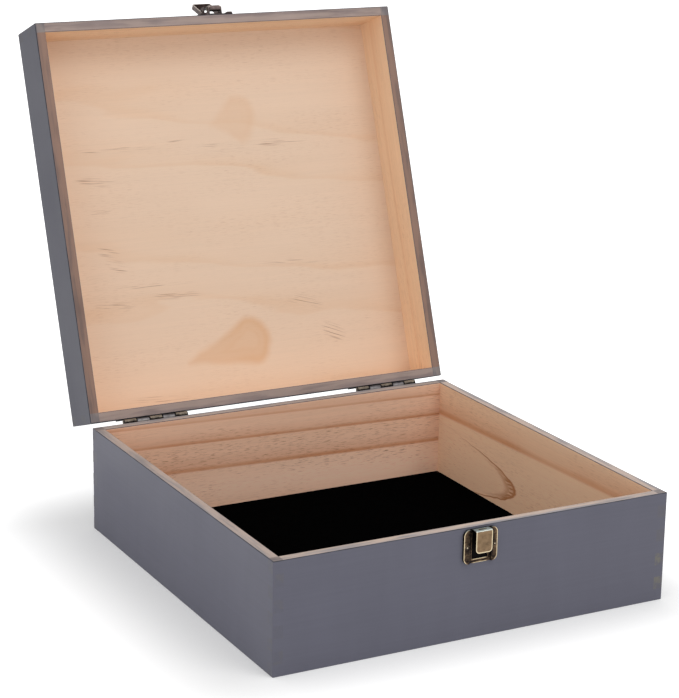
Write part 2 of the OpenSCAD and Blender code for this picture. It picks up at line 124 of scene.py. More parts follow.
class Graph:
    """Writes the nodes of one tree."""

    def __init__(self, tree: bpy.types.NodeTree) -> None:
        """Takes the tree to write in."""
        self.tree = tree

    def node(self, kind: str, feeds: dict | None = None, **settings: object) -> bpy.types.Node:
        """Adds a node.

        Args:
            kind: the node's type name.
            feeds: a value or an output for each input, by its name or number.
            settings: the node's own properties.

        Returns:
            The new node.
        """
        made = self.tree.nodes.new(kind)
        for name, value in settings.items():
            setattr(made, name, value)
        self.feed(made, feeds or {})
        return made

    def feed(self, node: bpy.types.Node, feeds: dict) -> None:
        """Gives a node's inputs, each by its name or number, a value or an output."""
        for key, value in feeds.items():
            if isinstance(value, bpy.types.NodeSocket):
                self.tree.links.new(value, node.inputs[key])
            else:
                node.inputs[key].default_value = value

    def math(self, how: str, *values: object) -> bpy.types.NodeSocket:
        """The output of a Math node."""
        return self.node("ShaderNodeMath", dict(enumerate(values)), operation=how).outputs[0]

    def vector(self, how: str, *values: object) -> bpy.types.NodeSocket:
        """The output of a Vector Math node: a number for a length or dot product, else a vector."""
        made = self.node("ShaderNodeVectorMath", dict(enumerate(values)), operation=how)
        return made.outputs["Value" if how in ("LENGTH", "DOT_PRODUCT") else "Vector"]

    def join(self, *parts: object) -> bpy.types.NodeSocket:
        """The vector that has these parts."""
        return self.node("ShaderNodeCombineXYZ", dict(enumerate(parts))).outputs[0]

    def split(self, vector: object) -> bpy.types.bpy_prop_collection:
        """The parts of a vector, by the names X, Y and Z."""
        return self.node("ShaderNodeSeparateXYZ", {0: vector}).outputs

    def swing(self, value: object, gain: object, base: object) -> bpy.types.NodeSocket:
        """Base, and more or less by gain as value is above or below one half."""
        return self.math("MULTIPLY_ADD", self.math("SUBTRACT", value, 0.5), gain, base)

    def product(self, first: object, *others: object) -> bpy.types.NodeSocket:
        """The product of two or more numbers."""
        for other in others:
            first = self.math("MULTIPLY", first, other)
        return first

    def ramp(self, value: object, low: float, high: float, start: float = 0.0,
             end: float = 1.0) -> bpy.types.NodeSocket:
        """Goes smoothly from start to end as value goes from low to high."""
        feeds = {"Value": value, "From Min": low, "From Max": high, "To Min": start, "To Max": end}
        return self.node("ShaderNodeMapRange", feeds, interpolation_type="SMOOTHSTEP").outputs[0]

    def band(self, value: object, rise: tuple[float, float],
             fall: tuple[float, float]) -> bpy.types.NodeSocket:
        """Goes smoothly from 0 to 1 as value crosses rise, and back to 0 as it crosses fall."""
        return self.product(self.ramp(value, *rise), self.ramp(value, *fall, 1.0, 0.0))

    def noise(self, place: object, per_metre: Triple, detail: float = 2.0,
              rough: float = 0.5) -> bpy.types.NodeSocket:
        """Noise from 0 to 1 whose spots have their own size along each direction.

        Args:
            place: the coordinates, in metres.
            per_metre: spots in a metre along each direction.
            detail: how many finer layers it has.
            rough: how strong those layers are.

        Returns:
            The noise's value.
        """
        scaled = self.vector("MULTIPLY", place, per_metre)
        feeds = {"Vector": scaled, "Scale": 1.0, "Detail": detail, "Roughness": rough}
        return self.node("ShaderNodeTexNoise", feeds).outputs["Fac"]

    def mix(self, share: object, one: object, other: object,
            how: str = "MIX") -> bpy.types.NodeSocket:
        """One colour going to the other by share."""
        feeds = {0: share, 6: one, 7: other}
        return self.node("ShaderNodeMix", feeds, data_type="RGBA", blend_type=how,
                         clamp_result=False).outputs[2]

    def shaded(self, colour: object, *light: object) -> bpy.types.NodeSocket:
        """A colour times a light, which has one part, or one each for red, green and blue."""
        parts = light if len(light) == 3 else light * 3
        return self.mix(1.0, colour, self.join(*parts), "MULTIPLY")


def open_group(name: str, kind: str, inputs: dict[str, object],
               outputs: dict[str, str]) -> tuple[Graph, dict, bpy.types.Node]:
    """Starts a node group.

    Args:
        name: the group's name.
        kind: ShaderNodeTree or GeometryNodeTree.
        inputs: each input's default; a string names a socket type that takes none.
        outputs: each output's socket type.

    Returns:
        The writer, the inputs' sockets by name, and the output node.
    """
    tree = bpy.data.node_groups.new(name, kind)
    for label, default in inputs.items():
        if isinstance(default, str):
            tree.interface.new_socket(label, in_out="INPUT", socket_type=default)
            continue
        if isinstance(default, (int, float)):
            type_name = "NodeSocketInt" if isinstance(default, int) else "NodeSocketFloat"
        else:
            type_name = "NodeSocketColor" if len(default) == 4 else "NodeSocketVector"
        socket = tree.interface.new_socket(label, in_out="INPUT", socket_type=type_name)
        socket.default_value = default
    for label, type_name in outputs.items():
        tree.interface.new_socket(label, in_out="OUTPUT", socket_type=type_name)
    graph = Graph(tree)
    given = graph.node("NodeGroupInput").outputs
    return graph, {label: given[label] for label in inputs}, graph.node("NodeGroupOutput")


def close_group(graph: Graph, end: bpy.types.Node,
                results: dict[str, bpy.types.NodeSocket]) -> bpy.types.NodeTree:
    """Links a group's results to its outputs and returns its tree."""
    graph.feed(end, results)
    return graph.tree


def pine_rings(graph: Graph, given: dict, apart: bpy.types.NodeSocket) -> bpy.types.NodeSocket:
    """The rings of pine sawn or peeled along its grain: each one darkens, then breaks off.

    Args:
        graph: the pine group's writer.
        given: its inputs.
        apart: the coordinates that its noise reads.

    Returns:
        How dark the rings are, from 0 to 1.
    """
    parts = graph.split(given["Vector"])
    lie = graph.math("MULTIPLY_ADD", parts["X"], given["Tilt"], parts["Y"])
    lie = graph.math("SUBTRACT", lie, given["Line"])
    turns = graph.math("DIVIDE", lie, given["Ring"])
    turns = graph.math("MULTIPLY_ADD", graph.product(lie, lie), given["Bend"], turns)
    sway = graph.noise(apart, (3.2, 17.0, 17.0), 3.0, 0.45)
    turns = graph.swing(sway, graph.product(given["Warp"], 4.0), turns)
    ripple = graph.noise(apart, (16.0, 60.0, 60.0), 2.0, 0.5)
    turns = graph.swing(ripple, graph.product(given["Warp"], 0.5), turns)
    part = graph.math("FRACT", turns)
    broad = graph.band(part, (0.35, 0.93), (0.93, 1.0))
    line = graph.band(part, (0.8, 0.93), (0.95, 1.0))
    ring = graph.math("MULTIPLY_ADD", line, 0.55, graph.product(broad, 0.45))
    uneven = graph.ramp(graph.noise(apart, (7.0, 30.0, 30.0), 2.0), 0.25, 0.7, 0.45, 1.0)
    return graph.product(ring, uneven)


def pine_group() -> bpy.types.NodeTree:
    """Pine seen along its grain: rings, fibres, strands, patches, flecks and painted light towards
    its foot.

    Returns:
        The group. Its Vector is (along, across, through) the board, in metres. Line is where one
        ring breaks off, and Ring the spacing there, negative where rings darken downwards. The
        foot input is painted light: how much paler, most of all in blue, the board is painted
        towards its foot.
    """
    graph, given, end = open_group(
        "pine_figure", "ShaderNodeTree",
        {"Vector": ORIGIN, "Pale": (0.7, 0.5, 0.35, 1.0), "Late": (0.5, 0.3, 0.2, 1.0),
         "Fleck": (0.3, 0.2, 0.1, 1.0), "Line": 0.0, "Ring": 0.02, "Bend": 0.0, "Warp": 0.3,
         "Tilt": 0.0, "Depth": 0.6, "Flecks": 0.5, "Fibre": 0.5, "Painted_foot_light": 0.0,
         "Seed": ORIGIN},
        {"Color": "NodeSocketColor", "Height": "NodeSocketFloat"})
    apart = graph.vector("ADD", given["Vector"], given["Seed"])
    ring = pine_rings(graph, given, apart)
    fibre = graph.noise(apart, (14.0, 1100.0, 1100.0), 3.0, 0.6)
    strand = graph.noise(apart, (5.0, 260.0, 260.0), 2.0, 0.5)
    patch = graph.noise(apart, (5.0, 11.0, 11.0), 2.0)
    dash = graph.ramp(graph.noise(apart, (120.0, 2300.0, 2300.0), 1.0), 0.58, 0.68)
    crowd = graph.ramp(graph.noise(apart, (9.0, 30.0, 30.0), 2.0), 0.38, 0.66, 0.15)
    dash = graph.product(dash, graph.product(crowd, given["Flecks"]))
    colour = graph.mix(graph.product(ring, given["Depth"]), given["Pale"], given["Late"])
    shade = graph.swing(fibre, graph.product(given["Fibre"], 0.34), 1.0)
    shade = graph.swing(strand, graph.product(given["Fibre"], 0.2), shade)
    shade = graph.swing(patch, 0.1, shade)
    up = graph.split(given["Vector"])["Y"]
    # Painted light: the board is painted paler towards its foot, most of all in blue.
    painted_foot_light = graph.product(graph.ramp(up, 6 * MM, 60 * MM, 1.0, 0.0), given["Painted_foot_light"])
    light = [graph.math("MULTIPLY_ADD", painted_foot_light, share, shade) for share in (0.6, 1.0, 1.35)]
    colour = graph.mix(dash, graph.shaded(colour, *light), given["Fleck"])
    height = graph.math("MULTIPLY_ADD", fibre, 0.5, graph.product(ring, 0.4))
    return close_group(graph, end, {"Color": colour, "Height": height})


def flame_group() -> bpy.types.NodeTree:
    """A flame in the grain: a pointed arch of dark rings that opens along the board.

    Returns:
        The group. Its mask is darkest just inside the arch's point.
    """
    graph, given, end = open_group(
        "grain_flame", "ShaderNodeTree",
        {"Vector": ORIGIN, "Point": ORIGIN, "Length": 0.04, "Width": 0.016},
        {"Mask": "NodeSocketFloat"})
    bend = graph.node("ShaderNodeTexNoise", {"Vector": given["Vector"], "Scale": 42.0})
    bent = graph.vector("MULTIPLY_ADD", bend.outputs["Color"], (0.008, 0.006, 0.0),
                        graph.vector("SUBTRACT", given["Vector"], (0.004, 0.003, 0.0)))
    parts = graph.split(graph.vector("SUBTRACT", bent, given["Point"]))
    along = graph.math("DIVIDE", parts["X"], given["Length"])
    side = graph.math("DIVIDE", parts["Y"], given["Width"])
    depth = graph.math("SUBTRACT", along, graph.product(side, side))
    rim = graph.product(graph.band(depth, (-0.06, 0.02), (0.03, 0.2)),
                        graph.ramp(along, 0.9, 2.6, 1.0, 0.15))
    second = graph.product(graph.band(depth, (0.2, 0.3), (0.3, 0.5)),
                           graph.ramp(along, 0.4, 1.5, 0.6, 0.0))
    strand = graph.noise(bent, (30.0, 600.0, 600.0), 2.0)
    core = graph.product(graph.band(depth, (-0.08, 0.0), (0.16, 0.5)),
                         graph.ramp(along, 0.3, 1.3, 1.0, 0.0),
                         graph.ramp(strand, 0.35, 0.6, 0.35, 1.0))
    total = graph.math("MAXIMUM", rim, graph.math("MAXIMUM", second, core))
    return close_group(graph, end, {"Mask": total})


def tear_group() -> bpy.types.NodeTree:
    """A tear-shaped ghost of a knot in peeled veneer: a soft fill with a darker edge.

    Returns:
        The group.
    """
    graph, given, end = open_group(
        "veneer_tear", "ShaderNodeTree",
        {"Vector": ORIGIN, "Centre": ORIGIN, "Tail": (-0.05, 0.01, 0.0),
         "Radius": 0.019},
        {"Mask": "NodeSocketFloat"})
    bend = graph.node("ShaderNodeTexNoise", {"Vector": given["Vector"], "Scale": 30.0})
    bent = graph.vector("MULTIPLY_ADD", bend.outputs["Color"], (0.014, 0.012, 0.0),
                        graph.vector("SUBTRACT", given["Vector"], (0.007, 0.006, 0.0)))
    away = graph.vector("MULTIPLY", graph.vector("SUBTRACT", bent, given["Centre"]), (1.0, 1.0, 0.0))
    reach = graph.vector("DOT_PRODUCT", given["Tail"], given["Tail"])
    along = graph.vector("DOT_PRODUCT", away, given["Tail"])
    share = graph.math("MAXIMUM", 0.0, graph.math("DIVIDE", along, reach))
    share = graph.math("MINIMUM", 1.0, share)
    nearest = graph.vector("MULTIPLY", given["Tail"], graph.join(share, share, share))
    gap = graph.vector("LENGTH", graph.vector("SUBTRACT", away, nearest))
    girth = graph.product(given["Radius"], graph.math("SUBTRACT", 1.0, share))
    outside = graph.math("SUBTRACT", gap, girth)
    fill = graph.ramp(outside, -4 * MM, 5 * MM, 1.0, 0.0)
    edge = graph.product(fill, graph.ramp(outside, -12 * MM, -1 * MM),
                         graph.ramp(share, 0.0, 0.5, 1.0, 0.25))
    ghost = graph.band(outside, (-14 * MM, -11 * MM), (-11 * MM, -7 * MM))
    total = graph.math("MULTIPLY_ADD", edge, 0.35, graph.product(fill, 0.6))
    return close_group(graph, end, {"Mask": graph.math("MULTIPLY_ADD", ghost, 0.12, total)})


def strands_group() -> bpy.types.NodeTree:
    """Thin dark strands crowded in a slanting patch, where a knife lifted the veneer's grain.

    Returns:
        The group. Lean is the strands' slope across the board.
    """
    graph, given, end = open_group(
        "lifted_strands", "ShaderNodeTree",
        {"Vector": ORIGIN, "Centre": ORIGIN, "Reach": (0.02, 0.005, 1.0),
         "Lean": 0.0},
        {"Mask": "NodeSocketFloat"})
    parts = graph.split(graph.vector("SUBTRACT", given["Vector"], given["Centre"]))
    slope = graph.product(parts["X"], given["Lean"])
    lie = graph.join(parts["X"], graph.math("SUBTRACT", parts["Y"], slope))
    gap = graph.vector("LENGTH", graph.vector("DIVIDE", lie, given["Reach"]))
    apart = graph.vector("ADD", lie, graph.vector("MULTIPLY", given["Centre"], (7.0, 7.0, 0.0)))
    strand = graph.ramp(graph.noise(apart, (34.0, 1500.0, 1.0), 1.0), 0.55, 0.68)
    mask = graph.product(strand, graph.ramp(gap, 0.35, 1.0, 1.0, 0.0))
    return close_group(graph, end, {"Mask": mask})


# The near-black of the dark line painted along the rounded arrises.
ARRIS_LINE_DARK = (0.022, 0.021, 0.026, 1.0)


def stain_group() -> bpy.types.NodeTree:
    """Thin satin stain over pine: even colour, faint strands, brush streaks, a dark line painted at
    arrises.

    Returns:
        The group. Its Vector is (along, across, through) the board, in metres. Bare wood shows
        by Show, up to the height Reach, and most where Inward is 1.
    """
    graph, given, end = open_group(
        "satin_stain", "ShaderNodeTree",
        {"Vector": ORIGIN, "Tint": (0.13, 0.13, 0.16, 1.0),
         "Bare": (0.3, 0.26, 0.22, 1.0), "Strand": 0.5, "Streak": 0.5, "Show": 0.0,
         "Inward": 1.0, "Arris_line": 0.0, "Reach": 1.0},
        {"Color": "NodeSocketColor", "Roughness": "NodeSocketFloat", "Height": "NodeSocketFloat"})
    place = given["Vector"]
    strand = graph.noise(place, (12.0, 520.0, 520.0), 4.0, 0.65)
    pore = graph.noise(place, (110.0, 1300.0, 1300.0), 1.0)
    streak = graph.noise(place, (46.0, 9.0, 9.0), 3.0, 0.55)
    cloud = graph.noise(place, (8.0, 13.0, 13.0), 2.0)
    shade = graph.swing(strand, graph.product(given["Strand"], 0.3), 1.0)
    shade = graph.swing(streak, graph.product(given["Streak"], 0.3), shade)
    shade = graph.swing(cloud, graph.product(given["Streak"], 0.25), shade)
    colour = graph.shaded(given["Tint"], shade)
    patchy = graph.ramp(graph.noise(place, (22.0, 210.0, 210.0), 3.0, 0.6), 0.35, 0.6)
    inner = graph.ramp(given["Inward"], 0.1, 0.9, 0.15, 1.0)
    lean = graph.math("MULTIPLY_ADD", patchy, 0.6, graph.product(inner, 0.6))
    over = graph.math("SUBTRACT", graph.split(place)["Y"], given["Reach"])
    show = graph.product(given["Show"], graph.ramp(lean, 0.2, 1.0),
                         graph.ramp(over, -8 * MM, 2 * MM, 1.0, 0.1))
    colour = graph.mix(show, colour, given["Bare"])
    uneven = graph.ramp(graph.noise(place, (90.0, 120.0, 120.0), 2.0), 0.3, 0.65, 0.5, 1.0)
    # A dark line painted along the rounded arrises, uneven along them.
    colour = graph.mix(graph.product(given["Arris_line"], uneven), colour, ARRIS_LINE_DARK)
    rough = graph.ramp(cloud, 0.3, 0.7, 0.5, 0.6)
    height = graph.math("MULTIPLY_ADD", pore, -0.5, strand)
    return close_group(graph, end, {"Color": colour, "Roughness": rough, "Height": height})


def patina_group() -> bpy.types.NodeTree:
    """Antique plating: black in the hollows, brown where handled, bright along the edges, by a mask
    that also carries painted highlights and painted shade.

    Returns:
        The group. Its wear input runs from 0, untouched metal and painted shade, to 1, worn edges and
        painted highlights.
    """
    graph, given, end = open_group(
        "patina_wear_and_light", "ShaderNodeTree",
        {"Vector": ORIGIN, "Dark": (0.03, 0.025, 0.02, 1.0),
         "Handled": (0.2, 0.14, 0.08, 1.0), "Bright": (0.5, 0.4, 0.25, 1.0), "Wear": 0.0,
         "Rubbed": 0.3},
        {"Color": "NodeSocketColor", "Roughness": "NodeSocketFloat", "Height": "NodeSocketFloat"})
    place = given["Vector"]
    blotch = graph.noise(place, (260.0, 260.0, 260.0), 3.0, 0.55)
    grit = graph.noise(place, (1500.0, 1500.0, 1500.0), 2.0, 0.6)
    brush = graph.noise(place, (300.0, 2600.0, 900.0), 2.0, 0.5)
    ragged = graph.swing(blotch, 0.55, graph.math("ADD", given["Wear"], given["Rubbed"]))
    ragged = graph.swing(brush, 0.25, ragged)
    tone = graph.ramp(graph.noise(place, (190.0, 190.0, 190.0), 2.0), 0.3, 0.7, 0.8, 1.12)
    handled = graph.shaded(given["Handled"], tone)
    colour = graph.mix(graph.ramp(ragged, 0.1, 0.55), given["Dark"], handled)
    bare = graph.ramp(ragged, 0.6, 0.95)
    colour = graph.mix(bare, colour, given["Bright"])
    rough = graph.math("MULTIPLY_ADD", grit, 0.16, graph.ramp(bare, 0.0, 1.0, 0.42, 0.26))
    height = graph.math("MULTIPLY_ADD", grit, 0.5, graph.product(blotch, 0.5))
    return close_group(graph, end, {"Color": colour, "Roughness": rough, "Height": height})


def felt_group() -> bpy.types.NodeTree:
    """Pressed black felt: matted fibres, a faint cloudy nap and a few lighter hairs.

    Returns:
        The group.
    """
    graph, given, end = open_group(
        "felt_nap", "ShaderNodeTree",
        {"Vector": ORIGIN, "Base": (0.004, 0.004, 0.004, 1.0), "Hair": (0.02, 0.02, 0.02, 1.0)},
        {"Color": "NodeSocketColor", "Height": "NodeSocketFloat"})
    place = given["Vector"]
    bend = graph.node("ShaderNodeTexNoise", {"Vector": place, "Scale": 300.0, "Detail": 1.0})
    bent = graph.vector("MULTIPLY_ADD", bend.outputs["Color"], (0.003, 0.003, 0.0), place)
    one_way = graph.noise(bent, (500.0, 3200.0, 900.0), 2.0, 0.6)
    other_way = graph.noise(bent, (3200.0, 500.0, 900.0), 2.0, 0.6)
    mat = graph.math("MAXIMUM", one_way, other_way)
    nap = graph.noise(place, (26.0, 26.0, 26.0), 3.0)
    share = graph.product(graph.ramp(mat, 0.52, 0.82), graph.ramp(nap, 0.3, 0.7, 0.5, 1.0))
    colour = graph.mix(share, given["Base"], given["Hair"])
    return close_group(graph, end, {"Color": colour, "Height": mat})


def socket_switch(graph: Graph, values: list) -> bpy.types.NodeSocket:
    """A number picked from values by each point's place in its curve."""
    made = graph.node("GeometryNodeIndexSwitch", data_type="FLOAT")
    while len(made.index_switch_items) < len(values):
        made.index_switch_items.new()
    feeds = [graph.node("GeometryNodeInputIndex").outputs[0], *values]
    graph.feed(made, dict(enumerate(feeds)))
    return made.outputs[0]


def named(graph: Graph, geometry: bpy.types.NodeSocket, kind: str, name: str,
          value: object) -> bpy.types.NodeSocket:
    """Stores a value under a name at each point and returns the geometry."""
    feeds = {"Geometry": geometry, "Name": name, "Value": value}
    return graph.node("GeometryNodeStoreNamedAttribute", feeds, data_type=kind).outputs[0]


def nail_tree() -> bpy.types.NodeTree:
    """Domed nails, one on each point, each with its head the way that the point's facing says.

    Returns:
        The tree. It turns an outline of radii and heights, from the tip to the crown, into the
        nail's round.
    """
    graph, given, end = open_group(
        "domed_nails", "GeometryNodeTree",
        {"Geometry": "NodeSocketGeometry", "Head Radius": 1.7 * MM, "Dome": 0.65 * MM,
         "Shank Radius": 0.8 * MM, "Length": 6.5 * MM, "Sides": 20,
         "Material": "NodeSocketMaterial"},
        {"Geometry": "NodeSocketGeometry"})
    head, dome = given["Head Radius"], given["Dome"]
    shank, length = given["Shank Radius"], given["Length"]
    tip = graph.product(length, -1.0)
    shoulder = graph.math("ADD", tip, graph.product(shank, 1.5))
    heights = [tip, shoulder, 0.0, 0.0, *(graph.product(dome, s) for s in (0.12, 0.4, 0.7, 0.92)),
               dome]
    radii = [graph.product(shank, 0.05), shank, shank, graph.product(head, 0.96), head,
             *(graph.product(head, s) for s in (0.86, 0.6, 0.3, 0.03))]
    # Painted highlights on each nail's dome: bright at its rim and crown, darker between, in the same
    # mask as wear.
    wear = [0.0, 0.0, 0.0, 0.2, 0.75, 0.3, 0.1, 0.6, 1.0]
    line = graph.node("GeometryNodeCurvePrimitiveLine").outputs[0]
    line = graph.node("GeometryNodeResampleCurve", {"Curve": line, "Count": len(radii)},
                      mode="COUNT").outputs[0]
    place = graph.join(0.0, 0.0, socket_switch(graph, heights))
    line = graph.node("GeometryNodeSetPosition", {"Geometry": line, "Position": place}).outputs[0]
    line = named(graph, line, "FLOAT", "wear", socket_switch(graph, wear))
    ring = graph.node("GeometryNodeCurvePrimitiveCircle",
                      {"Resolution": given["Sides"], "Radius": 1.0}).outputs[0]
    nail = graph.node("GeometryNodeCurveToMesh",
                      {"Curve": line, "Profile Curve": ring, "Scale": socket_switch(graph, radii),
                       "Fill Caps": True}).outputs[0]
    facing = graph.node("GeometryNodeInputNamedAttribute", {"Name": "facing"},
                        data_type="FLOAT_VECTOR").outputs[0]
    turn = graph.node("FunctionNodeAlignRotationToVector", {"Vector": facing}, axis="Z").outputs[0]
    nails = graph.node("GeometryNodeInstanceOnPoints",
                       {"Points": given["Geometry"], "Instance": nail, "Rotation": turn}).outputs[0]
    whole = graph.node("GeometryNodeRealizeInstances", {"Geometry": nails}).outputs[0]
    spot = graph.node("GeometryNodeInputPosition").outputs[0]
    whole = named(graph, whole, "FLOAT_VECTOR", "own", spot)
    whole = graph.node("GeometryNodeSetMaterial",
                       {"Geometry": whole, "Material": given["Material"]}).outputs[0]
    return close_group(graph, end, {"Geometry": whole})


def fibre_tree() -> bpy.types.NodeTree:
    """Loose arched fibres scattered over a surface, nearly flat on it.

    Returns:
        The tree.
    """
    graph, given, end = open_group(
        "loose_fibres", "GeometryNodeTree",
        {"Geometry": "NodeSocketGeometry", "Density": 26000.0, "Length": 3.0 * MM,
         "Rise": 0.3 * MM, "Thickness": 0.03 * MM, "Seed": 5, "Material": "NodeSocketMaterial"},
        {"Geometry": "NodeSocketGeometry"})
    scatter = graph.node("GeometryNodeDistributePointsOnFaces",
                         {"Mesh": given["Geometry"], "Density": given["Density"],
                          "Seed": given["Seed"]}).outputs["Points"]
    half = graph.product(given["Length"], 0.5)
    start = graph.join(graph.product(half, -1.0), 0.0, 0.0)
    middle = graph.join(graph.product(half, 0.3), graph.product(half, 1.1), given["Rise"])
    arch = graph.node("GeometryNodeCurveQuadraticBezier",
                      {"Resolution": 5, "Start": start, "Middle": middle,
                       "End": graph.join(half, 0.0, 0.0)}).outputs[0]
    ring = graph.node("GeometryNodeCurvePrimitiveCircle",
                      {"Resolution": 3, "Radius": given["Thickness"]}).outputs[0]
    fibre = graph.node("GeometryNodeCurveToMesh",
                       {"Curve": arch, "Profile Curve": ring, "Fill Caps": True}).outputs[0]
    turn = graph.node("FunctionNodeRandomValue",
                      {0: (-0.08, -0.08, 0.0), 1: (0.08, 0.08, 6.283), "Seed": given["Seed"]},
                      data_type="FLOAT_VECTOR").outputs[0]
    size = graph.node("FunctionNodeRandomValue",
                      {0: (0.4, 0.3, 0.3), 1: (1.3, 1.3, 1.0),
                       "Seed": graph.math("ADD", given["Seed"], 1.0)},
                      data_type="FLOAT_VECTOR").outputs[0]
    turn = graph.node("FunctionNodeEulerToRotation", {0: turn}).outputs[0]
    fibres = graph.node("GeometryNodeInstanceOnPoints",
                        {"Points": scatter, "Instance": fibre, "Rotation": turn,
                         "Scale": size}).outputs[0]
    whole = graph.node("GeometryNodeRealizeInstances", {"Geometry": fibres}).outputs[0]
    whole = graph.node("GeometryNodeSetMaterial",
                       {"Geometry": whole, "Material": given["Material"]}).outputs[0]
    return close_group(graph, end, {"Geometry": whole})


class Groups:
    """The shader groups and geometry trees, each built once."""

    def __init__(self) -> None:
        """Builds them."""
        self.pine = pine_group()
        self.flame = flame_group()
        self.tear = tear_group()
        self.strands = strands_group()
        self.stain = stain_group()
        self.patina = patina_group()
        self.felt = felt_group()
        self.nails = nail_tree()
        self.fibres = fibre_tree()


GROUPS = Groups()


class Surface:
    """A material in the making: its writer, its Principled BSDF and its coordinates."""

    def __init__(self, name: str, own: bool = True) -> None:
        """Starts a material.

        Args:
            name: the material's name.
            own: whether it reads the piece's own coordinates, and not Object coordinates.
        """
        self.material = bpy.data.materials.new(name)
        self.material.use_nodes = True
        self.graph = Graph(self.material.node_tree)
        self.shader = self.material.node_tree.nodes["Principled BSDF"]
        if own:
            self.place = self.attribute("own", "Vector")
        else:
            self.place = self.graph.node("ShaderNodeTexCoord").outputs["Object"]

    def attribute(self, name: str, output: str = "Fac") -> bpy.types.NodeSocket:
        """Reads what a piece's vertices carry under a name."""
        return self.graph.node("ShaderNodeAttribute", attribute_name=name).outputs[output]

    def group(self, tree: bpy.types.NodeTree, finish: object,
              feeds: dict[str, object] | None = None) -> bpy.types.bpy_prop_collection:
        """Places a shader group.

        Args:
            tree: the group.
            finish: its fields go to the inputs of the same names.
            feeds: a value or an output for other inputs.

        Returns:
            The group's outputs.
        """
        feeds = {"Vector": self.place} | (feeds or {})
        for socket in tree.interface.items_tree:
            if socket.in_out == "INPUT" and hasattr(finish, socket.name.lower()):
                feeds[socket.name] = getattr(finish, socket.name.lower())
        return self.graph.node("ShaderNodeGroup", feeds, node_tree=tree).outputs

    def dress(self, colour: object, rough: object, **others: float) -> None:
        """Gives the shader its colour and roughness, and levels for specular or metallic."""
        labels = {"specular": "Specular IOR Level", "metallic": "Metallic"}
        levels = {labels[name]: level for name, level in others.items()}
        self.graph.feed(self.shader, {"Base Color": colour, "Roughness": rough} | levels)

    def bump(self, height: object, strength: float, depth: float) -> None:
        """Gives the shader a bump of that depth in metres."""
        feeds = {"Strength": strength, "Distance": depth, "Height": height}
        bump = self.graph.node("ShaderNodeBump", feeds)
        self.graph.feed(self.shader, {"Normal": bump.outputs["Normal"]})


# ---------- finishes ----------

class Figure:
    """A figure in the grain, drawn by a shader group as a mask."""

    depth: float

    def drawn_by(self) -> bpy.types.NodeTree:
        """The group that draws it."""
        raise NotImplementedError

    def mask(self, surface: Surface) -> bpy.types.NodeSocket:
        """Adds the figure and returns how far it takes the wood to its tone."""
        return surface.graph.product(surface.group(self.drawn_by(), self)["Mask"], self.depth)


@dataclass(frozen=True)
class Flame(Figure):
    """A flame in the grain, by its point and its size along and across the board."""

    point: Triple
    length: float
    width: float
    tone: Colour = srgb(188, 118, 66)
    depth: float = 0.88

    def drawn_by(self) -> bpy.types.NodeTree:
        """The group that draws it."""
        return GROUPS.flame


@dataclass(frozen=True)
class Tear(Figure):
    """A tear-shaped figure in veneer, by its round end, its tail and its radius."""

    centre: Triple
    tail: Triple
    radius: float
    tone: Colour = srgb(224, 173, 127)
    depth: float = 0.72

    def drawn_by(self) -> bpy.types.NodeTree:
        """The group that draws it."""
        return GROUPS.tear


@dataclass(frozen=True)
class Strands(Figure):
    """A patch of lifted strands in veneer, by its middle and its reach along and across."""

    centre: Triple
    reach: Triple
    lean: float = 0.0
    tone: Colour = srgb(150, 100, 74)
    depth: float = 0.72

    def drawn_by(self) -> bpy.types.NodeTree:
        """The group that draws it."""
        return GROUPS.strands


@dataclass(frozen=True)
class Pine:
    """Bare pine or pine veneer, by how its rings lie on one board."""

    name: str
    pale: Colour
    late: Colour
    fleck: Colour = srgb(152, 88, 52)
    line: float = 0.0
    ring: float = 21 * MM
    bend: float = 0.0
    warp: float = 0.1
    tilt: float = 0.0
    depth: float = 0.95
    flecks: float = 0.6
    fibre: float = 0.5
    # How much painted light pales the board towards its foot.
    painted_foot_light: float = 0.0
    seed: Triple = ORIGIN
    figures: tuple[Figure, ...] = ()
    roughness: float = 0.62

    def material(self) -> bpy.types.Material:
        """Builds the finish."""
        surface = Surface(self.name)
        wood = surface.group(GROUPS.pine, self)
        colour = wood["Color"]
        for figure in self.figures:
            colour = surface.graph.mix(figure.mask(surface), colour, figure.tone)
        surface.dress(colour, self.roughness, specular=0.3)
        surface.bump(wood["Height"], 0.5, 0.12 * MM)
        return surface.material


@dataclass(frozen=True)
class Stain:
    """Stain on pine, by how much grain and bare wood show through it."""

    name: str
    tint: Colour
    bare: Colour
    strand: float = 0.5
    streak: float = 0.5
    show: float = 0.0
    specular: float = 0.35
    reach: float = 1.0

    def material(self) -> bpy.types.Material:
        """Builds the finish."""
        surface = Surface(self.name)
        masks = {"Arris_line": surface.attribute("arris_line"), "Inward": surface.attribute("inward")}
        stain = surface.group(GROUPS.stain, self, masks)
        surface.dress(stain["Color"], stain["Roughness"], specular=self.specular)
        surface.bump(stain["Height"], 0.35, 0.08 * MM)
        return surface.material


@dataclass(frozen=True)
class AgedMetal:
    """Antique plating on a fitting, by its colours and how far it is rubbed all over."""

    name: str
    dark: Colour
    handled: Colour
    bright: Colour
    rubbed: float = 0.1
    own: bool = True

    def material(self) -> bpy.types.Material:
        """Builds the finish; one with own coordinates reads the piece's mask of wear and painted
        light too.
        """
        surface = Surface(self.name, self.own)
        masks = {"Wear": surface.attribute("wear")} if self.own else {}
        plating = surface.group(GROUPS.patina, self, masks)
        surface.dress(plating["Color"], plating["Roughness"], metallic=1.0)
        surface.bump(plating["Height"], 0.4, 0.03 * MM)
        return surface.material


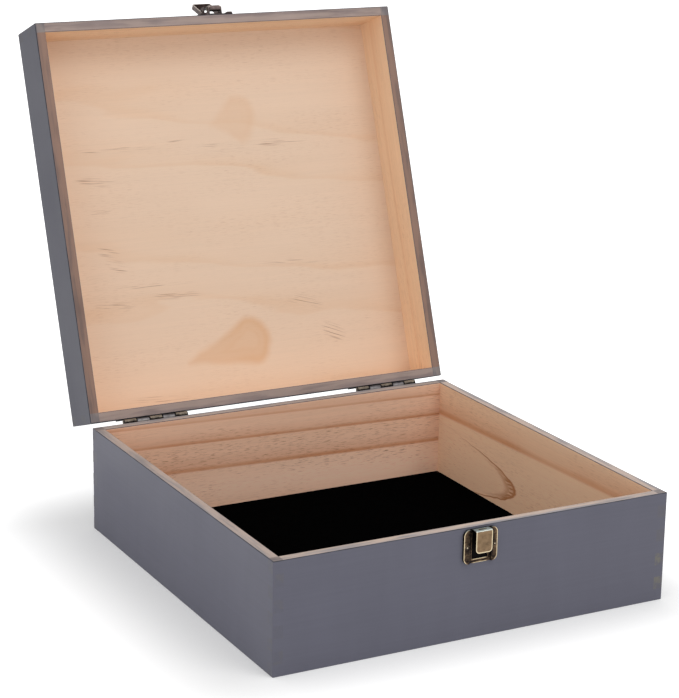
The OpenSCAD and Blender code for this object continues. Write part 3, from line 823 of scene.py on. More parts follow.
@dataclass(frozen=True)
class Felt:
    """Black felt."""

    name: str = "black_felt"
    base: Colour = srgb(3, 3, 3)
    hair: Colour = srgb(11, 11, 12)
    loose: Colour = srgb(17, 17, 19)

    def hair_material(self) -> bpy.types.Material:
        """Builds the finish of the loose fibres: a little paler, uneven along them."""
        surface = Surface(f"{self.name}_fibres", own=False)
        uneven = surface.graph.noise(surface.place, (700.0, 700.0, 700.0), 1.0)
        uneven = surface.graph.ramp(uneven, 0.35, 0.65)
        surface.dress(surface.graph.mix(uneven, self.hair, self.loose), 0.9, specular=0.1)
        return surface.material

    def material(self) -> bpy.types.Material:
        """Builds the finish."""
        surface = Surface(self.name, own=False)
        nap = surface.group(GROUPS.felt, self)
        surface.dress(nap["Color"], 1.0, specular=0.0)
        surface.bump(nap["Height"], 0.8, 0.25 * MM)
        return surface.material


# ---------- meshes ----------

def solid_of(node: str) -> bmesh.types.BMesh:
    """A CAD node's solid as a joined mesh of flat faces, apart from the node itself."""
    mesh = bmesh.new()
    mesh.from_mesh(frame["nodes"][node].data)
    bmesh.ops.remove_doubles(mesh, verts=mesh.verts, dist=WELD)
    bmesh.ops.dissolve_limit(mesh, angle_limit=FLAT, verts=mesh.verts, edges=mesh.edges,
                             delimit=set())
    for face in mesh.faces:
        face.smooth = False
    mesh.normal_update()
    return mesh


def finish_piece(name: str, mesh: bmesh.types.BMesh, masks: dict[str, list[float]],
                 to_own: Matrix, materials: list[bpy.types.Material]) -> bpy.types.Object:
    """Turns a mesh into a piece with its own coordinates and its masks.

    Args:
        name: the piece's name.
        mesh: the mesh, which is freed.
        masks: for each attribute's name, its value at each vertex in turn.
        to_own: the move from the shared frame to the piece's own coordinates.
        materials: its materials, in slot order.

    Returns:
        The piece's object.
    """
    places = [part for v in mesh.verts for part in to_own @ v.co]
    data = bpy.data.meshes.new(name)
    mesh.to_mesh(data)
    mesh.free()
    data.attributes.new("own", "FLOAT_VECTOR", "POINT").data.foreach_set("vector", places)
    for label, values in masks.items():
        data.attributes.new(label, "FLOAT", "POINT").data.foreach_set("value", values)
    for material in materials:
        data.materials.append(material)
    made = bpy.data.objects.new(name, data)
    bpy.context.scene.collection.objects.link(made)
    return made


def grow(name: str, source: bpy.types.Mesh, tree: bpy.types.NodeTree,
         values: dict[str, object]) -> bpy.types.Object:
    """Runs a geometry tree and keeps what it makes as a plain mesh.

    Args:
        name: the piece's name.
        source: the mesh that it starts from.
        tree: the tree.
        values: a value for each of its inputs, by name.

    Returns:
        The piece's object.
    """
    made = bpy.data.objects.new(name, source)
    bpy.context.scene.collection.objects.link(made)
    modifier = made.modifiers.new(tree.name, "NODES")
    modifier.node_group = tree
    for socket in tree.interface.items_tree:
        if socket.in_out == "INPUT" and socket.name in values:
            modifier[socket.identifier] = values[socket.name]
    whole = made.evaluated_get(bpy.context.evaluated_depsgraph_get())
    plain = bpy.data.meshes.new_from_object(whole)
    plain.name = name
    made.modifiers.remove(modifier)
    made.data = plain
    return made


def seat(piece: bpy.types.Object, carrier: Carrier, slot: str, *nodes: str) -> bpy.types.Object:
    """Puts a piece on its body in the place of CAD nodes, and returns it."""
    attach(piece, carrier.value)
    if nodes:
        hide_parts(*nodes)
    return piece


def ease(mesh: bmesh.types.BMesh, edges: list, width: float, steps: int = 3) -> None:
    """Rounds edges over.

    Args:
        mesh: the mesh.
        edges: the edges to round.
        width: how far the round reaches from each edge.
        steps: flats across the round.
    """
    made = bmesh.ops.bevel(mesh, geom=edges, offset=width, offset_type="OFFSET", segments=steps,
                           profile=0.5, affect="EDGES", clamp_overlap=True, loop_slide=True)
    for face in made["faces"]:
        face.smooth = face.calc_area() < width * max(e.calc_length() for e in face.edges)


# ---------- boards ----------

class Side(Enum):
    """Which way a board faces out of the box, with its grain's directions.

    Each value is the outward direction, then the axes along and across the grain and through
    the board, then how far the through coordinate is set apart so that no two boards share noise.
    """

    FRONT = ((0, -1, 0), (0, 2, 1), 0.0)
    BACK = ((0, 1, 0), (0, 2, 1), 0.0)
    LEFT = ((-1, 0, 0), (1, 2, 0), 1.0)
    RIGHT = ((1, 0, 0), (1, 2, 0), 1.0)
    UNDER = ((0, 0, -1), (0, 1, 2), 2.0)
    TOP = ((0, 0, 1), (0, 1, 2), 3.0)

    @property
    def outward(self) -> Vector:
        """The direction out of the box."""
        return Vector(self.value[0])

    @property
    def is_panel(self) -> bool:
        """Whether the board is a panel, not a wall."""
        return self in (Side.UNDER, Side.TOP)

    def to_own(self) -> Matrix:
        """The move from the closed box's frame to (along, across, through) this board."""
        _, axes, apart = self.value
        rows = [[1.0 if axis == column else 0.0 for column in range(3)] + [0.0] for axis in axes]
        rows[2][3] = apart
        return Matrix(rows + [[0.0, 0.0, 0.0, 1.0]])


@dataclass(frozen=True)
class TraySizes:
    """The planes that bound one half of the box when it is shut, as measured on its boards."""

    half: float
    inner: float
    low: float
    high: float
    rim: float


@dataclass(frozen=True)
class Arris:
    """How far the boards' edges are eased, and how dark a line is painted along them.

    The line is painted on the round itself, clear of the flat faces beside it.
    """

    outer: float = 0.6 * MM
    rim: float = 0.4 * MM
    clear: float = 0.01 * MM
    dark: float = 1.0
    inner_dark: float = 0.0


@dataclass(frozen=True)
class Board:
    """One board or panel, copied from its solid and dressed zone by zone."""

    node: str
    carrier: Carrier
    side: Side
    slot: str
    tray: TraySizes
    arris: Arris = Arris()

    def zone(self, centre: Vector, normal: Vector) -> Zone:
        """The kind of surface at a face of the closed box."""
        outward = normal.dot(self.side.outward) > FACING
        if self.side.is_panel:
            return Zone.OUTSIDE if outward else Zone.INSIDE
        if abs(normal.z) > FACING:
            if abs(centre.z - self.tray.rim) > NEAR:
                return Zone.OUTSIDE
            in_corner = min(abs(centre.x), abs(centre.y)) > self.tray.inner
            return Zone.CORNER if in_corner else Zone.RIM
        on_outer = any(abs(abs(centre[i]) - self.tray.half) < NEAR and abs(normal[i]) > FACING
                       for i in (0, 1))
        if not on_outer:
            return Zone.INSIDE
        return Zone.OUTSIDE if outward else Zone.END_GRAIN

    def planes_at(self, place: Vector) -> set[str]:
        """The names of the box's planes that a point of the closed box lies on."""
        found = set()
        for i, axis in enumerate("xy"):
            for name, plane in (("outer", self.tray.half), ("inner", self.tray.inner)):
                if abs(abs(place[i]) - plane) < NEAR:
                    found.add(f"{name} {axis}{place[i] > 0}")
        for height in (self.tray.low, self.tray.high):
            if abs(place.z - height) < NEAR:
                found.add(f"outer z{height == self.tray.high}")
        return found

    def is_outer_arris(self, edge: bmesh.types.BMEdge) -> bool:
        """Whether an edge is one of the box's own outer edges."""
        shared = self.planes_at(edge.verts[0].co) & self.planes_at(edge.verts[1].co)
        return len({name for name in shared if name.startswith("outer")}) == 2

    def is_rim_arris(self, edge: bmesh.types.BMEdge) -> bool:
        """Whether an edge is the rim's inner edge, clear of the corner joints."""
        ends = [v.co for v in edge.verts]
        if any(abs(place.z - self.tray.rim) > NEAR for place in ends):
            return False
        shared = self.planes_at(ends[0]) & self.planes_at(ends[1])
        middle = (ends[0] + ends[1]) / 2
        inside = max(abs(middle.x), abs(middle.y)) < self.tray.inner + NEAR
        return inside and any(name.startswith("inner") for name in shared)

    def arris_line(self, vert: bmesh.types.BMVert) -> float:
        """How dark the line painted along a rounded rim arris is at a vertex; 0 off the arrises."""
        height = abs(vert.co.z - self.tray.rim)
        reach = max(abs(vert.co.x), abs(vert.co.y))
        outer, rim, clear = self.arris.outer, self.arris.rim, self.arris.clear
        if clear < height < outer - clear and clear < self.tray.half - reach < outer - clear:
            return self.arris.dark
        if clear < height < rim - clear and clear < reach - self.tray.inner < rim - clear:
            return self.arris.inner_dark
        return 0.0

    def inward(self, vert: bmesh.types.BMVert) -> float:
        """How far in through the wall a vertex is, from 0 on its outside to 1 on its inside."""
        reach = max(abs(vert.co.x), abs(vert.co.y))
        return min(1.0, (self.tray.half - reach) / (self.tray.half - self.tray.inner))

    def mark_corners(self, mesh: bmesh.types.BMesh) -> None:
        """Cuts the mesh along the walls' inner planes, so that the rim's corners are faces."""
        for axis in (Vector((1, 0, 0)), Vector((0, 1, 0))):
            for sign in (-1, 1):
                geometry = mesh.verts[:] + mesh.edges[:] + mesh.faces[:]
                bmesh.ops.bisect_plane(mesh, geom=geometry, dist=CUT, plane_no=axis,
                                       plane_co=axis * sign * self.tray.inner)
        mesh.normal_update()

    def build(self, materials: list[bpy.types.Material]) -> bpy.types.Object:
        """Makes the board.

        Args:
            materials: its finishes, one for each zone.

        Returns:
            The piece.
        """
        closed = self.carrier.closed()
        mesh = solid_of(self.node)
        bmesh.ops.transform(mesh, matrix=closed, verts=mesh.verts)
        self.mark_corners(mesh)
        for face in mesh.faces:
            face.material_index = self.zone(face.calc_center_median(), face.normal).value
        if not self.side.is_panel:
            ease(mesh, [e for e in mesh.edges if self.is_outer_arris(e)], self.arris.outer)
            ease(mesh, [e for e in mesh.edges if self.is_rim_arris(e)], self.arris.rim)
        masks = {"arris_line": [self.arris_line(v) for v in mesh.verts],
                 "inward": [self.inward(v) for v in mesh.verts]}
        bmesh.ops.transform(mesh, matrix=closed.inverted(), verts=mesh.verts)
        piece = finish_piece(f"{self.node}_dressed", mesh, masks, self.side.to_own() @ closed,
                             materials)
        return seat(piece, self.carrier, self.slot, self.node)


@dataclass(frozen=True)
class TrayFinishes:
    """The stains of a tray, by side where they differ, and the inner finish of each board."""

    outside: Stain
    end_grain: dict[Side, Stain]
    rim: dict[Side, Stain]
    inside: dict[Side, Pine]
    corner: Stain

    def materials(self, side: Side) -> list[bpy.types.Material]:
        """Builds the materials of one board, in slot order."""
        by_zone = {Zone.OUTSIDE: self.outside, Zone.END_GRAIN: self.end_grain[side],
                   Zone.RIM: self.rim[side], Zone.INSIDE: self.inside[side],
                   Zone.CORNER: self.corner}
        return [by_zone[zone].material() for zone in Zone]


class Tray:
    """The base or the lid: four walls and a panel."""

    def __init__(self, name: str, carrier: Carrier, panel: str, panel_side: Side,
                 finishes: TrayFinishes, arris: Arris) -> None:
        """Measures the tray's walls.

        Args:
            name: the word its walls' names start with.
            carrier: the body it rides on.
            panel: the panel's node.
            panel_side: which way the panel faces.
            finishes: its finishes.
            arris: how its edges are eased.
        """
        self.name, self.carrier = name, carrier
        self.panel, self.panel_side = panel, panel_side
        self.finishes, self.arris = finishes, arris
        self.sizes = self.measure()

    def measure(self) -> TraySizes:
        """Reads the tray's planes off its front and left walls, as they lie in the shut box."""
        closed = self.carrier.closed()
        front = [closed @ v.co for v in frame["nodes"][f"{self.name}_front_wall"].data.vertices]
        left = [v.co for v in frame["nodes"][f"{self.name}_left_wall"].data.vertices]
        half = max(p.x for p in front)
        low, high = min(p.z for p in front), max(p.z for p in front)
        return TraySizes(half, -max(p.x for p in left), low, high,
                         high if self.carrier is Carrier.BASE else low)

    def build(self) -> list[bpy.types.Object]:
        """Makes the walls and the panel."""
        made = []
        for side in (Side.FRONT, Side.BACK, Side.LEFT, Side.RIGHT):
            board = Board(f"{self.name}_{side.name.lower()}_wall", self.carrier, side,
                          f"{self.name}_board", self.sizes, self.arris)
            made.append(board.build(self.finishes.materials(side)))
        panel = Board(self.panel, self.carrier, self.panel_side, "panel", self.sizes)
        made.append(panel.build(self.finishes.materials(self.panel_side)))
        return made


# ---------- felt ----------

@dataclass(frozen=True)
class FeltSizes:
    """Sizes of the felt's own make, beyond what its solid gives."""

    cells: int = 90
    edge_round: float = 0.5 * MM
    round_steps: int = 3
    wave: float = 0.12 * MM
    waves_per_metre: float = 90.0
    margin: float = 2.5 * MM
    density: float = 26000.0
    fibre: float = 3.2 * MM
    seed: int = 5


class FeltLining:
    """The felt sheet on the base panel, with its loose fibres."""

    def __init__(self, sizes: FeltSizes, finish: Felt) -> None:
        """Takes the sizes and the finish, and reads the sheet's box off its solid."""
        self.sizes, self.finish = sizes, finish
        self.low, self.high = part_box("floor_lining")

    def grid(self, cells: int, half: float, height: float) -> bmesh.types.BMesh:
        """A level square mesh of cells by cells squares, by half its side and its height."""
        mesh = bmesh.new()
        bmesh.ops.create_grid(mesh, x_segments=cells, y_segments=cells, size=half)
        bmesh.ops.translate(mesh, vec=(0.0, 0.0, height), verts=mesh.verts)
        return mesh

    def sheet(self, material: bpy.types.Material) -> bpy.types.Object:
        """Makes the sheet: a gridded slab whose cut edge is rounded and whose top waves a little."""
        low, high = self.low, self.high
        turn = self.sizes.edge_round
        mesh = self.grid(self.sizes.cells, high.x - turn, high.z)
        for v in mesh.verts:
            swell = noise.noise(v.co * self.sizes.waves_per_metre)
            v.co.z -= self.sizes.wave * (0.5 + 0.5 * swell)
        rim = [e for e in mesh.edges if e.is_boundary]
        for step in range(1, self.sizes.round_steps + 1):
            angle = math.radians(90) * step / self.sizes.round_steps
            rim = self.carry(mesh, rim, high.x - turn + turn * math.sin(angle),
                             high.z - turn + turn * math.cos(angle))
        rim = self.carry(mesh, rim, high.x, low.z)
        bmesh.ops.holes_fill(mesh, edges=rim, sides=len(rim))
        bmesh.ops.recalc_face_normals(mesh, faces=mesh.faces)
        for face in mesh.faces:
            face.smooth = len(face.verts) == 4
        piece = finish_piece("felt_lining", mesh, {}, Matrix.Identity(4), [material])
        return seat(piece, Carrier.BASE, "felt", "floor_lining")

    def carry(self, mesh: bmesh.types.BMesh, rim: list, reach: float, height: float) -> list:
        """Draws the sheet's border out to another outline.

        Args:
            mesh: the sheet so far.
            rim: its border's edges.
            reach: half the new outline's side.
            height: the new outline's height.

        Returns:
            The new border's edges.
        """
        made = bmesh.ops.extrude_edge_only(mesh, edges=rim)["geom"]
        verts = [g for g in made if isinstance(g, bmesh.types.BMVert)]
        old = max(abs(v.co.x) for v in verts)
        for v in verts:
            v.co.x *= reach / old
            v.co.y *= reach / old
            v.co.z = height
        return [g for g in made if isinstance(g, bmesh.types.BMEdge) and g.is_boundary]

    def fibres(self, material: bpy.types.Material) -> bpy.types.Object:
        """Scatters loose fibres over the sheet's top."""
        mesh = self.grid(1, self.high.x - self.sizes.margin, self.high.z - self.sizes.wave / 2)
        top = bpy.data.meshes.new("felt_top")
        mesh.to_mesh(top)
        mesh.free()
        piece = grow("felt_fibres", top, GROUPS.fibres,
                     {"Density": self.sizes.density, "Seed": self.sizes.seed,
                      "Length": self.sizes.fibre, "Material": material})
        return seat(piece, Carrier.BASE, "felt")

    def build(self) -> list[bpy.types.Object]:
        piece = self.sheet(self.finish.material())
        fibres = self.fibres(self.finish.hair_material())
        return [piece, fibres]


# ---------- fittings ----------

class Wear(Enum):
    """Where a fitting is bright: along its worn edges, or on the swell of its barrel, as a painted
    highlight.
    """

    EDGES = "edges"
    BARREL = "barrel"


@dataclass(frozen=True)
class Fitting:
    """A stamped metal piece copied from its solid, with eased edges and its own mask of wear and
    painted light.
    """

    node: str
    carrier: Carrier
    slot: str
    wear: Wear
    board_face: float
    edge: float = 0.12 * MM
    grid: float = 0.7 * MM
    band: float = 0.9 * MM
    proud: float = 6 * MM
    # How far grime and painted shade reach out from a hollow.
    hollow_shade_and_grime: float = 2.6 * MM
    handled: float = 0.42
    crown: float = 1.0 * MM
    sharp_angle: float = math.radians(35)
    round_angles: tuple[float, float] = (math.radians(1), math.radians(30))

    def build(self, *materials: bpy.types.Material) -> bpy.types.Object:
        """Makes the fitting.

        Args:
            materials: its finish, and a second one for what faces up and stands proud.

        Returns:
            The piece.
        """
        closed = self.carrier.closed()
        mesh = solid_of(self.node)
        bmesh.ops.transform(mesh, matrix=closed, verts=mesh.verts)
        bends = [e for e in mesh.edges if len(e.link_faces) == 2
                 and e.calc_face_angle(0.0) > self.sharp_angle]
        sharp = [e for e in bends if e.is_convex]
        ridges = nearest_marks(sharp)
        hollows = nearest_marks([e for e in bends if not e.is_convex and self.is_seen(e)])
        ease(mesh, sharp, self.edge, 2)
        least, most = self.round_angles
        for face in mesh.faces:
            angles = [e.calc_face_angle(0.0) for e in face.edges if len(e.link_faces) == 2]
            if any(least < angle < most for angle in angles):
                face.smooth = True
        refine(mesh, self.grid)
        mesh.normal_update()
        masks = {"wear": self.worn(mesh, ridges, hollows)}
        if len(materials) > 1:
            for face in mesh.faces:
                out = abs(face.calc_center_median().y) - self.board_face
                face.material_index = int(face.normal.z > LEANING and out > self.crown)
        bmesh.ops.transform(mesh, matrix=closed.inverted(), verts=mesh.verts)
        piece = finish_piece(f"{self.node}_dressed", mesh, masks, closed, list(materials))
        return seat(piece, self.carrier, self.slot, self.node)

    def is_seen(self, edge: bmesh.types.BMEdge) -> bool:
        """Whether an edge borders a face that looks out from the box."""
        way = math.copysign(1.0, edge.verts[0].co.y)
        return any(face.normal.y * way > LEANING for face in edge.link_faces)

    def worn(self, mesh: bmesh.types.BMesh, ridges: KDTree, hollows: KDTree) -> list[float]:
        """How bright the plating is at each vertex: worn on ridges and where it stands proud, and
        kept dark near hollows as grime and painted shade; a barrel gets a painted highlight on its
        swell and painted shade near its sharp edges.

        Args:
            mesh: the mesh.
            ridges: marks along its sharp outer edges.
            hollows: marks along its sharp inner edges.

        Returns:
            The wear and painted light of each vertex, from 0 to 1.
        """
        found = []
        for v in mesh.verts:
            near = clamp(1.0 - ridges.find(v.co)[2] / self.band)
            raised = clamp((abs(v.co.y) - self.board_face) / self.proud)
            # A barrel gets a painted highlight where it swells out, and painted shade near its sharp
            # edges.
            if self.wear is Wear.BARREL:
                found.append(clamp(raised - near))
                continue
            # Grime and painted shade: the plating is kept dark near the seen hollows, which lie in
            # shade.
            gap = hollows.find(v.co)[2]
            clear_of_hollows = 1.0 if gap is None else clamp(gap / self.hollow_shade_and_grime - 0.5)
            out = math.copysign(v.normal.y, v.normal.y * v.co.y)
            shown = clamp((out - 0.2) / 0.4)
            rubbed = self.handled * raised * (0.4 + 0.6 * shown)
            found.append(min(1.0, near * shown * clear_of_hollows + rubbed * (0.5 + 0.5 * clear_of_hollows)))
        return found


def clamp(value: float) -> float:
    """The value, kept from 0 to 1."""
    return min(1.0, max(0.0, value))


def nearest_marks(edges: list, apart: float = 0.3 * MM) -> KDTree:
    """A tree of marks set apart along edges, to find how far a place is from them."""
    marks = [edge.verts[0].co.lerp(edge.verts[1].co, k / count) for edge in edges
             for count in [max(1, round(edge.calc_length() / apart))]
             for k in range(count + 1)]
    tree = KDTree(len(marks))
    for index, mark in enumerate(marks):
        tree.insert(mark, index)
    tree.balance()
    return tree


@dataclass(frozen=True)
class PaintedShadeSheet:
    """A thin black sheet behind the window in the strike plate: painted shade, where the hook shades
    the window.
    """

    half_width: float = 6.6 * MM
    low: float = 61.6 * MM
    high: float = 84.3 * MM
    thickness: float = 0.15 * MM
    ease: float = 0.04 * MM

    def build(self, face: float, material: bpy.types.Material) -> bpy.types.Object:
        """Makes the black sheet of painted shade on the front face of the base.

        Args:
            face: how far that face is from the middle.
            material: its finish.

        Returns:
            The piece.
        """
        mesh = bmesh.new()
        bmesh.ops.create_cube(mesh, size=1.0)
        size = Vector((2 * self.half_width, self.thickness, self.high - self.low))
        bmesh.ops.scale(mesh, vec=size, verts=mesh.verts)
        middle = Vector((0.0, -face - self.thickness / 2, (self.low + self.high) / 2))
        bmesh.ops.translate(mesh, vec=middle, verts=mesh.verts)
        ease(mesh, mesh.edges[:], self.ease, 2)
        masks = {"wear": [0.0] * len(mesh.verts)}
        piece = finish_piece("strike_painted_shade", mesh, masks, Matrix.Identity(4), [material])
        return seat(piece, Carrier.BASE, "latch_metal")


def islands(mesh: bmesh.types.BMesh) -> list[list[Vector]]:
    """The places of the vertices of each separate part of a mesh, in the mesh's own order."""
    left, found = set(mesh.verts), []
    for first in mesh.verts:
        if first not in left:
            continue
        left.remove(first)
        queue, part = [first], []
        while queue:
            at = queue.pop()
            part.append(at.co.copy())
            fresh = [v for edge in at.link_edges for v in edge.verts if v in left]
            left.difference_update(fresh)
            queue.extend(fresh)
        found.append(part)
    return found


@dataclass(frozen=True)
class Nails:
    """A set of domed nails, each grown where its solid stands."""

    node: str
    carrier: Carrier
    dome: float = 0.65 * MM

    def build(self, material: bpy.types.Material) -> bpy.types.Object:
        """Makes the nails of the set.

        Args:
            material: their finish.

        Returns:
            The piece, one mesh for the set.
        """
        closed = self.carrier.closed()
        solid = solid_of(self.node)
        bmesh.ops.transform(solid, matrix=closed, verts=solid.verts)
        places, facings, length = [], [], 0.0
        for part in islands(solid):
            way = math.copysign(1.0, part[0].y)
            reach = [abs(place.y) for place in part]
            middle = [(min(p[i] for p in part) + max(p[i] for p in part)) / 2 for i in (0, 2)]
            under = max(reach) - self.dome
            length = under - min(reach)
            places.append(closed.inverted() @ Vector((middle[0], way * under, middle[1])))
            facings.extend(closed.inverted().to_3x3() @ Vector((0.0, way, 0.0)))
        solid.free()
        spots = bpy.data.meshes.new(f"{self.node}_spots")
        spots.from_pydata(places, [], [])
        spots.attributes.new("facing", "FLOAT_VECTOR", "POINT").data.foreach_set("vector", facings)
        piece = grow(f"{self.node}_dressed", spots, GROUPS.nails,
                     {"Dome": self.dome, "Length": length, "Material": material})
        return seat(piece, self.carrier, "nail_metal", self.node)


def refine(mesh: bmesh.types.BMesh, longest: float) -> None:
    """Splits a mesh until none of its edges is longer than longest."""
    while True:
        bmesh.ops.triangulate(mesh, faces=mesh.faces[:])
        long = [e for e in mesh.edges if e.calc_length() > longest]
        if not long:
            return
        bmesh.ops.subdivide_edges(mesh, edges=long, cuts=1, use_single_edge=True)


LATCH_BRONZE = AgedMetal("aged_bronze", srgb(30, 25, 24), srgb(128, 106, 82), srgb(206, 190, 158))
PAINTED_SHADE_BLACK = AgedMetal("painted_shade_black", srgb(12, 11, 11), srgb(34, 30, 28), srgb(60, 54, 48))
HOOK_CROWN = AgedMetal("hook_crown", srgb(104, 108, 106), srgb(140, 148, 146), srgb(188, 192, 184),
                       rubbed=0.45)
LID_BRONZE = AgedMetal("lid_latch_bronze", srgb(36, 30, 32), srgb(118, 104, 101), srgb(190, 176, 166),
                       rubbed=0.22)
HINGE_BRONZE = AgedMetal("hinge_bronze", srgb(24, 22, 22), srgb(150, 138, 124), srgb(206, 196, 180))
HINGE_STEEL = AgedMetal("hinge_steel", srgb(24, 23, 25), srgb(104, 100, 102), srgb(170, 168, 168))
NAIL_BRONZE = AgedMetal("nail_bronze", srgb(26, 23, 22), srgb(96, 82, 68), srgb(196, 184, 160))
PIN_BRONZE = AgedMetal("pin_bronze", srgb(30, 26, 24), srgb(110, 96, 80), srgb(180, 160, 130),
                       rubbed=0.3, own=False)


@dataclass(frozen=True)
class Hinges:
    """The two butt hinges: a leaf on the base and one on the lid, each with its knuckles."""

    board_face: float
    band: float = 0.7 * MM
    proud: float = 4.0 * MM

    def build(self) -> list[bpy.types.Object]:
        """Makes the leaves."""
        leaves = (("base", Carrier.BASE, HINGE_BRONZE.material()),
                  ("lid", Carrier.LID, HINGE_STEEL.material()))
        return [Fitting(f"hinge_{side}_{half}_leaf", carrier, "hinge_metal", Wear.BARREL,
                        self.board_face, band=self.band, proud=self.proud).build(finish)
                for side in ("left", "right") for half, carrier, finish in leaves]


@dataclass(frozen=True)
class Latch:
    """The draw latch: the strike on the base with a black sheet of painted shade behind its window,
    and plate, lever and bail on the lid.
    """

    board_face: float
    painted_shade_sheet: PaintedShadeSheet = PaintedShadeSheet()

    def build(self) -> list[bpy.types.Object]:
        """Makes the latch's pieces."""
        strike, aged = (LATCH_BRONZE.material(), HOOK_CROWN.material()), (LID_BRONZE.material(),)
        parts = (("latch_strike", Carrier.BASE, strike), ("latch_plate", Carrier.LID, aged),
                 ("latch_lever", Carrier.LEVER, aged), ("latch_bail", Carrier.BAIL, aged))
        made = [Fitting(node, carrier, "latch_metal", Wear.EDGES, self.board_face).build(*metals)
                for node, carrier, metals in parts]
        return [*made, self.painted_shade_sheet.build(self.board_face, PAINTED_SHADE_BLACK.material())]


def nail_sets() -> list[bpy.types.Object]:
    """Makes the nails of the hinges and of the latch."""
    finish = NAIL_BRONZE.material()
    carriers = {"hinge_base_nails": Carrier.BASE, "hinge_lid_nails": Carrier.LID,
                "latch_plate_nails": Carrier.LID, "strike_nails": Carrier.BASE}
    return [Nails(node, carrier).build(finish) for node, carrier in carriers.items()]


def dress_pins() -> list[bpy.types.Object]:
    """Gives the hinges' and the latch's pins, which stay as they are in the frame, their finish."""
    finish = PIN_BRONZE.material()
    pins = [frame["nodes"][node]
            for node in ("hinge_left_pin", "hinge_right_pin", "lever_pin", "bail_pin")]
    for pin in pins:
        pin.data.materials.clear()
        pin.data.materials.append(finish)
    return pins


# ---------- studio ----------

@dataclass(frozen=True)
class Lamp:
    """A round area light, by its place, its power in watts and its width."""

    name: str
    place: Triple
    watts: float
    width: float


@dataclass(frozen=True)
class StudioSizes:
    """The photo's camera, and the studio's floor and lights.

    The angles are in degrees; focal and long_side are in the photo's pixels. The floor's own
    light is lift_near beside the box and rises to lift_far at lift_reach from it.
    """

    place: Triple = (-0.78511, -1.40951, 0.62759)
    yaw: float = 28.25
    pitch: float = 15.68
    roll: float = 0.92
    focal: float = 2178.0
    long_side: float = 698.0
    sensor: float = 36.0
    far: float = 50.0
    ambient: float = 0.74
    lamps: tuple[Lamp, ...] = (Lamp("key_light", (0.75, -1.6, 2.5), 17.0, 1.6),
                               Lamp("fill_light", (-1.1, -0.7, 0.3), 1.3, 0.7))
    aim: Triple = (0.0, 0.05, 0.15)
    floor_half: float = 7.0
    floor_grey: float = 0.8
    box_half: float = 165 * MM
    lift_near: float = 0.22
    lift_far: float = 0.8
    lift_reach: float = 140 * MM
    lift_shift: Triple = (20 * MM, -12 * MM, 0.0)


class Studio:
    """A white floor, soft lights and the camera."""

    def __init__(self, sizes: StudioSizes) -> None:
        """Takes the sizes."""
        self.sizes = sizes

    def camera(self) -> None:
        """Places the camera where the photo was taken."""
        data = bpy.data.cameras.new("photo_camera")
        data.sensor_width = self.sizes.sensor
        data.lens = self.sizes.focal / self.sizes.long_side * self.sizes.sensor
        data.clip_end = self.sizes.far
        made = bpy.data.objects.new("photo_camera", data)
        turn = (Matrix.Rotation(math.radians(-self.sizes.yaw), 4, "Z")
                @ Matrix.Rotation(math.radians(90 - self.sizes.pitch), 4, "X")
                @ Matrix.Rotation(math.radians(self.sizes.roll), 4, "Z"))
        made.matrix_world = Matrix.Translation(self.sizes.place) @ turn
        bpy.context.scene.collection.objects.link(made)
        bpy.context.scene.camera = made

    def light(self, lamp: Lamp) -> None:
        """Adds a lamp that looks at the box."""
        data = bpy.data.lights.new(lamp.name, "AREA")
        data.shape, data.size, data.energy = "DISK", lamp.width, lamp.watts
        made = bpy.data.objects.new(lamp.name, data)
        made.location = lamp.place
        made.rotation_mode = "QUATERNION"
        way = Vector(self.sizes.aim) - Vector(lamp.place)
        made.rotation_quaternion = way.to_track_quat("-Z", "Y")
        bpy.context.scene.collection.objects.link(made)

    def world(self) -> None:
        """A soft even light that looks white."""
        world = bpy.data.worlds.new("studio_world")
        world.use_nodes = True
        bpy.context.scene.world = world
        graph = Graph(world.node_tree)
        level = graph.math("MULTIPLY_ADD", self.seen(graph), 1.0 - self.sizes.ambient,
                           self.sizes.ambient)
        graph.feed(world.node_tree.nodes["Background"],
                   {"Color": (1.0, 1.0, 1.0, 1.0), "Strength": level})

    def seen(self, graph: Graph) -> bpy.types.NodeSocket:
        """1 for camera, glossy and transmission rays and 0 for the rest."""
        rays = graph.node("ShaderNodeLightPath").outputs
        some = graph.math("MAXIMUM", rays["Is Camera Ray"], rays["Is Glossy Ray"])
        return graph.math("MAXIMUM", some, rays["Is Transmission Ray"])

    def floor(self) -> None:
        """A pale floor that is white where nothing shades it."""
        half = self.sizes.floor_half
        data = bpy.data.meshes.new("studio_floor")
        corners = [(-half, -half, 0), (half, -half, 0), (half, half, 0), (-half, half, 0)]
        data.from_pydata(corners, [], [(0, 1, 2, 3)])
        data.materials.append(self.floor_material())
        made = bpy.data.objects.new("studio_floor", data)
        bpy.context.scene.collection.objects.link(made)

    def floor_material(self) -> bpy.types.Material:
        """The floor's finish: matt, with a light of its own that is weak near the box."""
        surface = Surface("studio_floor", own=False)
        graph, half = surface.graph, self.sizes.box_half
        # Painted shade: the glow is weaker near the box and its weak zone is shifted by lift_shift
        # towards the back left, so the floor there is darker than the lamps alone make it.
        place = graph.vector("ADD", surface.place, self.sizes.lift_shift)
        beyond = graph.vector("SUBTRACT", graph.vector("ABSOLUTE", place), (half, half, 0.0))
        beyond = graph.vector("LENGTH", graph.vector("MAXIMUM", beyond, ORIGIN))
        lift = graph.ramp(beyond, 0.0, self.sizes.lift_reach, self.sizes.lift_near,
                          self.sizes.lift_far)
        grey = self.sizes.floor_grey
        surface.dress((grey, grey, grey, 1.0), 1.0, specular=0.0)
        graph.feed(surface.shader, {"Emission Color": (1.0, 1.0, 1.0, 1.0),
                                    "Emission Strength": graph.product(lift, self.seen(graph))})
        return surface.material

    def build(self) -> None:
        """Sets the studio up."""
        self.camera()
        self.world()
        self.floor()
        for lamp in self.sizes.lamps:
            self.light(lamp)
        bpy.context.scene.view_settings.view_transform = "Standard"


# ---------- the box's own woods and stains ----------

